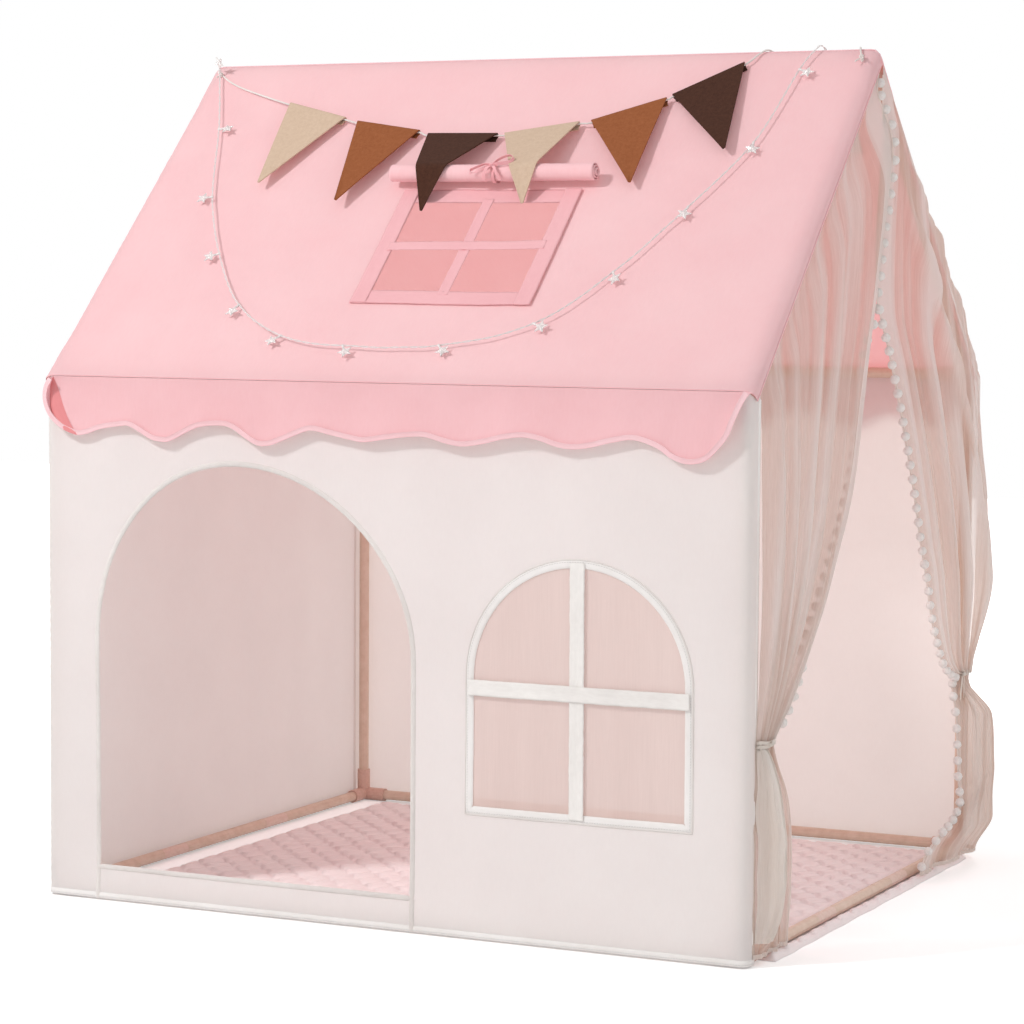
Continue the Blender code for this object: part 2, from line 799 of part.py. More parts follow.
def tie_bow(matrix, roll_lift):
    """A string round the rolled cover, tied in a bow on its outer side."""
    ring = roll_lift + TIE_RADIUS
    gap = acos((roll_lift - TIE_RADIUS - SEAT_GAP) / ring)
    count = BOW_STEPS + 2
    arc = []
    for step in range(count + 1):
        angle = gap - pi / 2 + 2 * (pi - gap) * step / count
        arc.append((0, ring * cos(angle), ring * sin(angle)))
    knot = Vector((0, 0, roll_lift + BOW_KNOT_RADIUS))
    pieces = [
        placed(rod("string", arc, TIE_RADIUS), matrix),
        ball("knot", BOW_KNOT_RADIUS, matrix @ knot),
    ]
    for way in ENDS.values():
        loop = []
        for step in range(BOW_STEPS):
            angle = 2 * pi * step / BOW_STEPS
            x = way * BOW_LOOP_LENGTH / 2 * (1 - cos(angle))
            y = BOW_LOOP_WIDTH / 2 * sin(angle) * sin(angle / 2)
            loop.append(knot + Vector((x, y, 0)))
        tail = []
        for step in range(BOW_STEPS // 2 + 1):
            share = 2 * step / BOW_STEPS
            angle = BOW_TAIL_LENGTH / ring * share
            out = ring + TIE_RADIUS * share
            tail.append((way * BOW_LOOP_WIDTH / 2 * share, -out * sin(angle), out * cos(angle)))
        pieces.append(placed(rod("loop", loop, TIE_RADIUS, closed=True), matrix))
        pieces.append(placed(rod("tail", tail, TIE_RADIUS), matrix))
    finish(fused("skylight_tie_bow", pieces), ROSE)


def valance_depth(x):
    """How far the scalloped edge hangs at a place along the eave."""
    half = HALF_WIDTH + COVER_OUT
    wave = cos(2 * pi * VALANCE_LOBES * (x + half) / (2 * half) + pi)
    depth = VALANCE_DEPTH + VALANCE_WAVE * wave
    inside = half - VALANCE_CORNER
    past = max(0.0, (abs(x) - inside) / VALANCE_CORNER)
    round_off = sqrt(max(0.0, 1 - past**2))
    return VALANCE_END_DEPTH + (depth - VALANCE_END_DEPTH) * round_off


def valance(name, side):
    """A scalloped strip that hangs from the roof's lip."""
    half = HALF_WIDTH + COVER_OUT
    count = VALANCE_LOBES * VALANCE_STEPS
    across = [half * (2 * step / count - 1) for step in range(count + 1)]
    shares = (0, 0.5, 1)
    hinge = valance_hinge(side)

    def place(x, share):
        drop = share * valance_depth(x)
        out = VALANCE_FLARE * share**2
        return Vector((x, side * out, -drop))

    obj = sheet(name, across, shares, place, CLOTH)
    finish(placed(obj, Matrix.Translation(hinge)), PINK)


def valance_hinge(side):
    """The seam at the roof's lip on which a valance swings."""
    out = HALF_DEPTH + COVER_OUT * sin(SLOPE_ANGLE) + ROOF_LIP * cos(SLOPE_ANGLE)
    lip = EAVE_HEIGHT + COVER_OUT * cos(SLOPE_ANGLE) - ROOF_LIP * sin(SLOPE_ANGLE)
    return Vector((0, side * out, lip - (CLOTH / 2 + SEAT_GAP) / sin(SLOPE_ANGLE)))


def curtain_waist():
    """How far out from the gable's middle the gathered waist lies, at its middle."""
    return HALF_DEPTH - WAIST_OFFSET


def fold_out(share, fold):
    """How far a fold stands out of the gable's plane at a share of the curtain's width."""
    return fold * (1 - cos(2 * pi * CURTAIN_FOLDS * share)) / 2


def curtain_top(share):
    """The seam under the roof's folded edge, from the eave end to past the peak."""
    drop = ROOF_DROP + SEAM_GAP + CLOTH / 2
    outer = HALF_DEPTH - WRAP_LENGTH - SEAM_GAP - CURTAIN_CLOTH
    y = outer - (outer - SEAM_GAP) * min(1.0, share)
    z = RIDGE_HEIGHT - drop / cos(SLOPE_ANGLE) - y * RIDGE_RISE / HALF_DEPTH
    return y, z


def curtain_upper(name, side, overlap, layer):
    """A curtain from the rafter seam down to its tied waist, with the ribbon that ties it."""
    columns = CURTAIN_FOLDS * FOLD_SAMPLES
    across = [step / columns for step in range(columns + 1)]
    rows = [step / CURTAIN_ROWS for step in range(CURTAIN_ROWS + 1)]
    plane = HALF_WIDTH + COVER_MID
    waist = curtain_waist()

    def place(share, t):
        top_y, top_z = curtain_top(share)
        low_y = waist + WAIST_WIDTH * (1 / 2 - share)
        middle_y = (top_y + low_y) / 2
        middle_z = (top_z + WAIST_HEIGHT) / 2
        pull = share**2
        control_y = middle_y + pull * (-overlap - middle_y)
        control_z = middle_z + pull * (CURTAIN_SWEEP_HEIGHT - middle_z)
        y = (1 - t) ** 2 * top_y + 2 * t * (1 - t) * control_y + t**2 * low_y
        z = (1 - t) ** 2 * top_z + 2 * t * (1 - t) * control_z + t**2 * WAIST_HEIGHT
        grow = min(1.0, t / CURTAIN_FLAT_SHARE)
        fold = grow * (CURTAIN_TOP_FOLD + (WAIST_FOLD - CURTAIN_TOP_FOLD) * t)
        out = fold_out(share, fold) + layer * 4 * t * (1 - t)
        return Vector((plane + out, side * y, z))

    cloth = sheet(f"{name}_cloth", across, rows, place, CURTAIN_CLOTH)
    ribbon = waist_ribbon(side)
    return finish(fused(name, [cloth, *ribbon]), TULLE)


def waist_ribbon(side):
    """A ribbon round a curtain's waist, with the end that is sewn to the post's seam."""
    centre = Vector((HALF_WIDTH + COVER_MID + WAIST_FOLD / 2, side * curtain_waist(), 0))
    centre.z = WAIST_HEIGHT + RIBBON_RADIUS + SEAM_GAP
    ring = []
    for step in range(RIBBON_STEPS):
        angle = 2 * pi * step / RIBBON_STEPS
        x = (WAIST_FOLD / 2 + RIBBON_RADIUS) * cos(angle)
        y = WAIST_WIDTH / 2 * sin(angle)
        ring.append(centre + Vector((x, y, 0)))
    outer = centre + Vector((0, side * WAIST_WIDTH / 2, 0))
    seam = Vector((HALF_WIDTH + COVER_MID, side * (HALF_DEPTH - WRAP_LENGTH - SEAM_GAP), outer.z))
    return [
        rod("ribbon", ring, RIBBON_RADIUS, closed=True),
        rod("ribbon_end", [outer, outer.lerp(seam, 1 / 2), seam], RIBBON_RADIUS),
    ]


def curtain_tail(name, side, width):
    """The part of a curtain that hangs free below its waist."""
    columns = CURTAIN_FOLDS * FOLD_SAMPLES
    across = [step / columns for step in range(columns + 1)]
    rows = [step / TAIL_ROWS for step in range(TAIL_ROWS + 1)]
    hinge = tail_hinge(side)
    waist = curtain_waist()
    top = WAIST_HEIGHT - CURTAIN_CLOTH - SEAM_GAP
    outer = HALF_DEPTH - WRAP_LENGTH - SEAM_GAP - CURTAIN_CLOTH

    def place(share, t):
        flare = sin(pi / 2 * t)
        top_y = waist + WAIST_WIDTH * (1 / 2 - share)
        low_y = outer - width * share
        y = top_y + (low_y - top_y) * flare
        z = top + (TAIL_HEM_HEIGHT - top) * t
        fold = WAIST_FOLD + (TAIL_FOLD - WAIST_FOLD) * flare
        x = HALF_WIDTH + COVER_MID + CURTAIN_CLOTH * t + fold_out(share, fold)
        return Vector((x, side * y, z)) - hinge

    obj = sheet(name, across, rows, place, CURTAIN_CLOTH)
    finish(placed(obj, Matrix.Translation(hinge)), TULLE)


def tail_hinge(side):
    """The waist's outer side, on which a tail swings out."""
    return Vector(
        (HALF_WIDTH + COVER_MID + WAIST_FOLD + CURTAIN_CLOTH, side * curtain_waist(), WAIST_HEIGHT)
    )


def mat_height(x, y, under):
    """The quilt's thickness: puffed channels between wavy stitch lines, flat under the tube."""
    if under:
        return MAT_UNDER_TUBE
    channel = (y / MAT_WIDTH + 1 / 2) * MAT_CHANNELS
    puff = sqrt(abs(sin(pi * channel)))
    ends = min(1.0, (1 / 2 - abs(x) / MAT_LENGTH) / MAT_TAPER_SHARE)
    return MAT_STITCH + (MAT_PUFF - MAT_STITCH) * puff * ends


def mat():
    """The quilted mat, which runs out under the right base tube."""
    half = MAT_LENGTH / 2
    tube_x = HALF_WIDTH - MAT_SHIFT
    clear = SOCKET_RADIUS + MAT_PUFF / 2
    inner = tube_x - clear
    columns = [-half + (inner + half) * step / MAT_COLUMNS for step in range(MAT_COLUMNS + 1)]
    columns += [tube_x - TUBE_RADIUS, tube_x, tube_x + TUBE_RADIUS, tube_x + clear, half]
    covered = range(MAT_COLUMNS + 1, MAT_COLUMNS + 4)
    row_count = MAT_CHANNELS * MAT_CHANNEL_ROWS
    grid = bmesh.new()
    bmesh.ops.create_grid(grid, x_segments=len(columns) - 1, y_segments=row_count)
    for index, vertex in enumerate(grid.verts):
        row, column = divmod(index, len(columns))
        x = columns[column]
        y = MAT_WIDTH * (row / row_count - 1 / 2)
        height = mat_height(x, y, column in covered)
        wave = sin(2 * pi * MAT_WAVES * x / MAT_LENGTH)
        inside = 1 - abs(2 * y / MAT_WIDTH) ** 4
        edge = column in (0, len(columns) - 1) or row in (0, row_count)
        if edge:
            height = min(height, MAT_EDGE)
        stray = MAT_EDGE_WAVE * sin(2 * pi * MAT_WAVES * y / MAT_WIDTH)
        if column == len(columns) - 1:
            x += stray
        vertex.co = (x + MAT_SHIFT, y + MAT_STITCH_WAVE * wave * inside, height)
    rim = [edge for edge in grid.edges if edge.is_boundary]
    lower = bmesh.ops.extrude_edge_only(grid, edges=rim)["geom"]
    for vertex in (item for item in lower if isinstance(item, bmesh.types.BMVert)):
        vertex.co.z = 0
    bottom = [item for item in lower if isinstance(item, bmesh.types.BMEdge)]
    bmesh.ops.contextual_create(grid, geom=bottom)
    bmesh.ops.recalc_face_normals(grid, faces=grid.faces)
    mesh = bpy.data.meshes.new("floor_mat")
    grid.to_mesh(mesh)
    grid.free()
    finish(bpy.data.objects.new("floor_mat", mesh), QUILT)


def on_roof(shares, lift):
    """A point over the front of the roof from shares of its half width and slope."""
    return roof_point(shares[0] * HALF_WIDTH, shares[1] * SLOPE, lift)


def bunting():
    """Six felt flags on a cord that hangs across the roof."""
    straight = FLAG_WIDTH / 2 + CORD_STRAIGHT
    points = [on_roof(shares, CORD_RADIUS + SEAT_GAP) for shares in BUNTING_START_SHARES]
    for index, shares in enumerate(FLAG_SPAN_SHARES):
        start, end = (on_roof(share, BUNTING_LIFT) for share in shares)
        middle = start.lerp(end, 1 / 2)
        axis = (end - start).normalized()
        for reach in (-straight, -FLAG_WIDTH / 2, 0, FLAG_WIDTH / 2, straight):
            points.append(middle + reach * axis)
        flag(index, middle, axis)
    points += [on_roof(shares, 2 * CORD_RADIUS + SEAT_GAP) for shares in BUNTING_END_SHARES]
    finish(rod("bunting_cord", smooth_route(points, CORD_PACE), CORD_RADIUS), WHITE)


def flag(index, middle, axis):
    """A felt triangle that hangs from the cord and swings about it."""
    normal = roof_normal(SIDES["front"])
    normal = (normal - normal.dot(axis) * axis).normalized()
    name = f"bunting_flag_{index + 1}"
    colour = FLAG_COLOURS[index % len(FLAG_COLOURS)]
    basis = Matrix((axis, normal.cross(axis), normal)).transposed().to_4x4()
    matrix = Matrix.Translation(middle) @ basis
    lean = FLAG_LEAN_SHARES[index] * FLAG_WIDTH
    if abs(middle.x - SKYLIGHT_CENTRE) < COVER_ROLL_WIDTH / 2:
        finish(placed(bent_flag(name, middle, lean), matrix), colour)
        return
    top = -(CORD_RADIUS + SEAT_GAP)
    half = FLAG_WIDTH / 2
    tip = FLAG_TIP / 2
    low = top - FLAG_LENGTH
    outline = [(lean + tip, low), (half, top), (-half, top), (lean - tip, low)]
    obj = flat_piece(name, [outline], FELT)
    finish(placed(obj, matrix @ Matrix.Rotation(-radians(FLAG_TILT), 4, "X")), colour)


def bend_profile(reach):
    """Stations of a flag that lies over the rolled cover: (way down the slope, lift, length).

    Each is measured from the cord, which lies a reach up the slope from the roll's middle.
    """
    radius = COVER_ROLL_RADIUS + CLOTH / 2 + ROLL_CLEARANCE + FELT / 2
    rise = COVER_ROLL_RADIUS + CLOTH / 2 + SEAT_GAP - BUNTING_LIFT
    start = asin(radius / hypot(reach, rise)) + atan2(rise, reach)
    last = -radians(FLAG_HANG_ANGLE)
    top = CORD_RADIUS + SEAT_GAP
    stations = [(top * cos(start), top * sin(start), 0.0)]
    for step in range(FLAG_BEND_STEPS + 1):
        angle = start + (last - start) * step / FLAG_BEND_STEPS
        way = reach - radius * sin(angle)
        lift = rise + radius * cos(angle)
        before = stations[-1]
        length = before[2] + hypot(way - before[0], lift - before[1])
        stations.append((way, lift, length))
    way, lift, length = stations[-1]
    rest = FLAG_LENGTH - length
    stations.append((way + rest * cos(last), lift + rest * sin(last), FLAG_LENGTH))
    return stations


def bent_flag(name, middle, lean):
    """A flag bent over the rolled cover, in the frame of its cord."""
    eave = roof_point(middle.x, 0, BUNTING_LIFT)
    stations = bend_profile((middle - eave).length - COVER_ROLL_RISE)
    half = FLAG_WIDTH / 2

    def place(across, station):
        way, lift, length = station
        share = length / FLAG_LENGTH
        width = half + (FLAG_TIP / 2 - half) * share
        return Vector((lean * share + across * width, -way, lift))

    return sheet(name, (-1, 0, 1), stations, place, FELT)


def star_outline():
    points = []
    for step in range(10):
        radius = STAR_INNER_RADIUS if step % 2 else STAR_RADIUS
        angle = 2 * pi * step / 10
        points.append((radius * sin(angle), radius * cos(angle)))
    return points


def star_lights():
    """A clear wire with stars that sags across the roof and over the ridge to a battery box."""
    places = [on_roof(shares, WIRE_LIFT) for shares in (*STAR_SHARES, *WIRE_END_SHARES)]
    box_run = SLOPE + BOX_DROP
    box_lift = SEAT_GAP + BOX_THICKNESS / 2
    for run in (box_run - BOX_LENGTH / 2, box_run - SEAT_GAP):
        places.append(roof_point(BOX_ACROSS, run, box_lift))
    wire = rod("star_wire", smooth_route(places, WIRE_PACE), WIRE_RADIUS)
    up_slope = Vector((0, cos(SLOPE_ANGLE), sin(SLOPE_ANGLE)))
    basis = roof_matrix(0, 0, 0).to_3x3().to_4x4()
    stars = []
    for index in range(len(STAR_SHARES)):
        heading = places[index + 1] - places[max(0, index - 1)]
        turn = Matrix.Rotation(atan2(heading.dot(up_slope), heading.x), 4, "Z")
        shift = Matrix.Translation((0, -STAR_OFFSET, 0))
        star = flat_piece("star", [star_outline()], STAR_THICKNESS)
        stars.append(placed(star, Matrix.Translation(places[index]) @ basis @ turn @ shift))
    finish(fused("star_light_string", [wire, *stars]), CLEAR, 0.15)
    battery_box(box_run)


def battery_box(run):
    """A battery box on the rear slope, with a slide switch on its outer face."""
    rise = 2 * SLOPE - run - BOX_LENGTH / 2
    matrix = roof_matrix(BOX_ACROSS, rise, SEAT_GAP + BOX_THICKNESS / 2, SIDES["rear"])
    box = slab("light_battery_box", (BOX_WIDTH, BOX_LENGTH, BOX_THICKNESS), matrix)
    bevel = box.modifiers.new("round", "BEVEL")
    bevel.width = BOX_BEVEL
    bevel.segments = 2
    top = BOX_THICKNESS / 2
    pocket_length = SWITCH_LENGTH + SWITCH_TRAVEL + 2 * SWITCH_GAP
    pocket_size = (SWITCH_WIDTH + 2 * SWITCH_GAP, pocket_length, 2 * SWITCH_DEPTH)
    pocket = slab("pocket", pocket_size, matrix @ Matrix.Translation((0, 0, top)))
    boolean(box, "DIFFERENCE", solid_mesh(pocket))
    finish(box, WHITE, 0.4)
    height = SWITCH_DEPTH - SWITCH_GAP + SWITCH_STAND
    centre = top + SWITCH_STAND - height / 2
    place = matrix @ Matrix.Translation((0, -SWITCH_TRAVEL / 2, centre))
    finish(slab("light_switch", (SWITCH_WIDTH, SWITCH_LENGTH, height), place), CLEAR, 0.4)


def slab(name, size, matrix):
    """A box of a given size about the matrix's origin."""
    shape = bmesh.new()
    bmesh.ops.create_cube(shape, size=1, matrix=Matrix.Diagonal((*size, 1)))
    mesh = bpy.data.meshes.new(name)
    shape.to_mesh(mesh)
    shape.free()
    return placed(bpy.data.objects.new(name, mesh), matrix)


def build():
    clear_scene()
    build_frame()
    front_wall()
    window()
    finish(long_wall("rear_wall", SIDES["rear"]), CREAM)
    left_gable_wall()
    roof()
    skylight()
    for side_name, side in SIDES.items():
        valance(f"valance_{side_name}", side)
    curtain_upper("curtain_front", SIDES["front"], CURTAIN_OVERLAP, CURTAIN_TOP_FOLD)
    curtain_upper("curtain_rear", SIDES["rear"], -CURTAIN_OVERLAP, 0)
    curtain_tail("curtain_tail_front", SIDES["front"], FRONT_TAIL_WIDTH)
    curtain_tail("curtain_tail_rear", SIDES["rear"], REAR_TAIL_WIDTH)
    mat()
    bunting()
    star_lights()


build()
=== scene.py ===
"""Kids play tent: the looks of a small house of cloth on a tube frame.

X runs to the right along the ridge, Y to the back, Z up, in metres, as in the part.
"""

from math import asin, atan2, ceil, cos, floor, hypot, pi, radians, sin, sqrt, tau

import bmesh
import bpy
import numpy as np
from mathutils import Matrix, Vector, noise
from mathutils.geometry import delaunay_2d_cdt
from mathutils.kdtree import KDTree


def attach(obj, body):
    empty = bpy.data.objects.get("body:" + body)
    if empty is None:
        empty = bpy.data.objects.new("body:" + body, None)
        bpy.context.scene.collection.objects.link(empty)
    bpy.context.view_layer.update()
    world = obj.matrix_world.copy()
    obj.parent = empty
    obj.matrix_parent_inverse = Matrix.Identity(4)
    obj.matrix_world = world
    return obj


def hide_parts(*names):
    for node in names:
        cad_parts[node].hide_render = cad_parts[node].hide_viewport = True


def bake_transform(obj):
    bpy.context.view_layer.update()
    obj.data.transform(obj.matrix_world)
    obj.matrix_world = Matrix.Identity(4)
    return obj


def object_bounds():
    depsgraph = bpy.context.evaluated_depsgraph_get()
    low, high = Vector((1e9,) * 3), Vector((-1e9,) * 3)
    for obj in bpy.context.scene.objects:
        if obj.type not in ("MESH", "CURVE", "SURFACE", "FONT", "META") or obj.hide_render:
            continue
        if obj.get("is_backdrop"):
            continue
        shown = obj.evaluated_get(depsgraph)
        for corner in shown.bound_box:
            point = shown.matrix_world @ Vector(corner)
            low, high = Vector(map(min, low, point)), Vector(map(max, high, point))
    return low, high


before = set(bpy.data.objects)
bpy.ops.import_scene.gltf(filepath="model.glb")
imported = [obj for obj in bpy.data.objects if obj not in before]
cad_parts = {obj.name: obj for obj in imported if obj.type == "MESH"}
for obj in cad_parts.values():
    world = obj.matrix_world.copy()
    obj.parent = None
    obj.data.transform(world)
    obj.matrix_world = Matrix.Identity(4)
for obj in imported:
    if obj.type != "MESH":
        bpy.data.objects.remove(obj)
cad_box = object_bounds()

# The frame and the cover, as in the part
HALF_WIDTH = 0.585
HALF_DEPTH = 0.51
EAVE_HEIGHT = 0.827
RIDGE_HEIGHT = 1.33
RISE = RIDGE_HEIGHT - EAVE_HEIGHT
SLOPE = hypot(HALF_DEPTH, RISE)
LEVEL, STEEP = HALF_DEPTH / SLOPE, RISE / SLOPE
COVER_MID = 0.01335
COVER_OUT = 0.0141
HEM_HEIGHT = 0.003
WALL_TOP = 0.8303
WRAP_LENGTH = 0.014
CORNER_NOTCH = 0.0135
ROOF_LIP = 0.0104
ROOF_DROP = 0.0055
ROOF_FLARE = 0.0008
ROOF_BEND = 0.549
ROOF_ROUND = 0.0575
ROOF_SIDE = 0.6005
ROOF_SIDE_OUT = -0.0015
CORNER_ARC = COVER_MID * pi / 2
FRONT, REAR = -1, 1


def smooth(start, end, value):
    """0 before start and 1 after end, with a soft step between; start may be the larger."""
    share = min(1.0, max(0.0, (value - start) / (end - start)))
    return share * share * (3 - 2 * share)


def blend(a, b, share):
    return a + (b - a) * share


def spaced(start, end, count):
    return [blend(start, end, step / (count - 1)) for step in range(count)]


def ripple(x, y, seed=0.0):
    """Smooth noise from about -1 to 1; each surface has seeds of its own."""
    return noise.noise(Vector((x, y, seed * 7.31 + 0.5)))


def srgb(*values):
    """A linear colour from display values of 0 to 255."""
    shares = [value / 255 for value in values]
    return tuple(s / 12.92 if s <= 0.04045 else ((s + 0.055) / 1.055) ** 2.4 for s in shares)


# Points on the cover

def wall_point(s, z, lift=0.0, side=FRONT):
    """A point over a long wall, at a way s along its cloth from the middle, posts included."""
    way = abs(s)
    sign = 1 if s > 0 else -1
    out = COVER_MID + lift
    if way <= HALF_WIDTH:
        return Vector((s, side * (HALF_DEPTH + out), z))
    if way <= HALF_WIDTH + CORNER_ARC:
        angle = (way - HALF_WIDTH) / COVER_MID
        x = HALF_WIDTH + out * sin(angle)
        return Vector((sign * x, side * (HALF_DEPTH + out * cos(angle)), z))
    past = way - HALF_WIDTH - CORNER_ARC
    return Vector((sign * (HALF_WIDTH + out), side * (HALF_DEPTH - past), z))


def wall_out(s, z, side=FRONT):
    """How far the hanging wall stands out of its plane: broad sags, drapes and creases."""
    seed = 1 if side == FRONT else 5
    hold = smooth(0.578, 0.5, abs(s)) * smooth(0.015, 0.08, z) * smooth(0.825, 0.76, z)
    broad = 0.0055 * ripple(s * 3.1, z * 1.6, seed)
    drape = 0.0028 * ripple(s * 10 + 1.5 * ripple(s * 3, z * 2, seed), z * 1.5, seed + 1)
    crease = 0.0008 * ripple(s * 21 + z * 8, z * 14, seed + 2)
    fine = 0.00035 * ripple(s * 55, z * 48, seed + 3)
    return hold * (broad + drape + crease + fine)


def on_wall(s, z, lift=0.0, side=FRONT):
    return wall_point(s, z, lift + wall_out(s, z, side), side)


def roof_normal(side=FRONT):
    return Vector((0, side * STEEP, LEVEL))


def roof_up(side=FRONT):
    return Vector((0, -side * LEVEL, STEEP))


def roof_out(x, run, side=FRONT):
    """How far a slope of the roof stands out of its plane between the tubes."""
    seed = 11 if side == FRONT else 15
    hold = smooth(0.58, 0.5, abs(x)) * smooth(SLOPE - 0.012, SLOPE - 0.09, run)
    hold *= smooth(0.0, 0.07, run)
    sag = -0.004 * cos(pi * x / (2 * HALF_WIDTH)) * sin(pi * min(1, max(0, run / SLOPE)))
    broad = 0.0032 * ripple(x * 4.2, run * 3.1, seed)
    pull = 0.0013 * ripple(x * 15 + 2 * ripple(x * 4, run * 4, seed), run * 3.2, seed + 1)
    crease = 0.0007 * ripple(x * 14 + run * 18, run * 24 - x * 9, seed + 2)
    return hold * (sag + broad + pull + crease)


def roof_point(x, run, lift=0.0, side=FRONT):
    """A point over the roof's flat planes, past the ridge onto the other side."""
    if run > SLOPE:
        run = 2 * SLOPE - run
        side = -side
    if SLOPE - run < 0.0004:
        return Vector((x, 0, RIDGE_HEIGHT + COVER_OUT + lift))
    eave = Vector((x, side * HALF_DEPTH, EAVE_HEIGHT))
    return eave + run * roof_up(side) + (COVER_OUT + lift) * roof_normal(side)


def on_roof(x, run, lift=0.0, side=FRONT):
    return roof_point(x, run, lift + roof_out(x, run, side), side)


def roof_cloth(s, run, side=FRONT, lift=0.0):
    """A point of a slope's cloth, rounded down over the rafters and over the ridge."""
    way = abs(s)
    sign = 1 if s > 0 else -1
    if way <= ROOF_BEND:
        x, out = way, COVER_MID + roof_out(s, run, side) + lift
    elif way <= ROOF_BEND + ROOF_ROUND:
        share = sin((way - ROOF_BEND) / ROOF_ROUND * pi / 2)
        near_end = max(smooth(0.10, 0.03, run), smooth(SLOPE - 0.10, SLOPE - 0.03, run))
        power = blend(3.0, 6.5, near_end)
        pucker = 0.0006 * ripple(run * 60, way * 25, 21 + side) * share**2
        x = ROOF_BEND + (ROOF_SIDE - ROOF_BEND) * share + pucker
        out = ROOF_SIDE_OUT + (COVER_MID - ROOF_SIDE_OUT) * sqrt(max(0.0, 1 - share**power))
        out += lift + (1 - share) * roof_out(sign * ROOF_BEND, run, side)
    else:
        past = way - ROOF_BEND - ROOF_ROUND
        x = ROOF_SIDE + lift + ROOF_FLARE * (past / ROOF_DROP) ** 2
        out = ROOF_SIDE_OUT - past
    if run <= SLOPE:
        run = min(run, SLOPE + out * STEEP / LEVEL - 0.0004)
        normal = roof_normal(side)
    else:
        turn = atan2(LEVEL, STEEP) + (run - SLOPE) / COVER_MID
        normal = Vector((0, side * cos(turn), sin(turn)))
        run = SLOPE
    return Vector((sign * x, side * HALF_DEPTH, EAVE_HEIGHT)) + run * roof_up(side) + out * normal


# Mesh tools

def linked(name, data, material=None):
    """A new object with the data, in the scene."""
    obj = bpy.data.objects.new(name, data)
    bpy.context.scene.collection.objects.link(obj)
    if material:
        data.materials.append(material)
    return obj


def new_mesh(name, material, verts, faces, uvs):
    """A smooth object from points and faces, with the UV of each face's corners in turn."""
    mesh = bpy.data.meshes.new(name)
    mesh.from_pydata(verts, [], faces)
    layer = mesh.uv_layers.new(name="flat").data
    layer.foreach_set("uv", [value for uv in uvs for value in uv])
    mesh.shade_smooth()
    return linked(name, mesh, material)


def put(obj, slot, body="tent", replaces=()):
    """Makes a piece ride on a body and hides the nodes it stands for; slot is not used."""
    if body:
        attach(obj, body)
    if replaces:
        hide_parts(*replaces)
    return obj


def inside(points, rings):
    """Which of the flat points lie inside the rings, holes taken out."""
    points = np.asarray(points)
    odd = np.zeros(len(points), bool)
    for ring in rings:
        for (ax, ay), (bx, by) in zip(ring, [*ring[1:], ring[0]]):
            if ay == by:
                continue
            crossed = (ay > points[:, 1]) != (by > points[:, 1])
            odd ^= crossed & (points[:, 0] < (bx - ax) * (points[:, 1] - ay) / (by - ay) + ax)
    return odd


def resampled(ring, spacing, closed=True):
    """The ring with points no further apart than the spacing."""
    made = []
    ends = [*ring[1:], ring[0]] if closed else ring[1:]
    for a, b in zip(ring, ends):
        steps = max(1, ceil((Vector(b) - Vector(a)).length / spacing))
        made += [tuple(Vector(a).lerp(Vector(b), step / steps)) for step in range(steps)]
    return made if closed else [*made, tuple(ring[-1])]


def panel(name, material, outline, place, spacing, holes=()):
    """A sheet of cloth cut to a flat outline with holes, each point put at place(u, v)."""
    rings = [resampled(ring, spacing) for ring in (outline, *holes)]
    flat, edges = [], []
    for ring in rings:
        first = len(flat)
        flat += ring
        edges += [(first + i, first + (i + 1) % len(ring)) for i in range(len(ring))]
    tree = KDTree(len(flat))
    for index, (u, v) in enumerate(flat):
        tree.insert((u, v, 0), index)
    tree.balance()
    low, high = np.min(flat, axis=0), np.max(flat, axis=0)
    rows = int((high[1] - low[1]) / (spacing * 0.87)) + 1
    columns = int((high[0] - low[0]) / spacing) + 1
    grid = [
        (low[0] + (column + row % 2 / 2) * spacing, low[1] + row * spacing * 0.87)
        for row in range(rows)
        for column in range(columns)
    ]
    kept = inside(grid, rings)
    flat += [g for g, k in zip(grid, kept) if k and tree.find((*g, 0))[2] > spacing * 0.55]
    verts, _, faces, *_ = delaunay_2d_cdt([Vector(p) for p in flat], edges, [], 0, 1e-7)
    centres = [sum((verts[i] for i in face), Vector((0, 0))) / len(face) for face in faces]
    kept = inside([tuple(c) for c in centres], rings)
    faces = [face for face, k in zip(faces, kept) if k]
    corners = [verts[i] for face in faces for i in face]
    return new_mesh(name, material, [place(*v) for v in verts], faces, corners)


def grid_sheet(name, material, columns, rows, place, size=(1.0, 1.0)):
    """A sheet over a grid of shares, each point put at place(u, v)."""
    verts = [place(c / columns, r / rows) for r in range(rows + 1) for c in range(columns + 1)]
    wide = columns + 1
    faces = [
        (r * wide + c, r * wide + c + 1, (r + 1) * wide + c + 1, (r + 1) * wide + c)
        for r in range(rows)
        for c in range(columns)
    ]
    corners = [i for face in faces for i in face]
    spots = [(i % wide / columns * size[0], i // wide / rows * size[1]) for i in corners]
    return new_mesh(name, material, verts, faces, spots)


def turned(count, point):
    """The point at each of a number of even angles round a circle."""
    return [point(tau * step / count) for step in range(count)]


def oval(width, thickness, steps=10):
    """A flattened round section of (across, out) points."""
    return turned(steps, lambda a: (width / 2 * cos(a), thickness / 2 * sin(a)))


def directions(path, closed):
    """The tangent at each point of a path."""
    count = len(path)
    found = []
    for i in range(count):
        a = path[(i - 1) % count] if closed or i else path[i]
        b = path[(i + 1) % count] if closed or i < count - 1 else path[i]
        found.append((b - a).normalized())
    return found


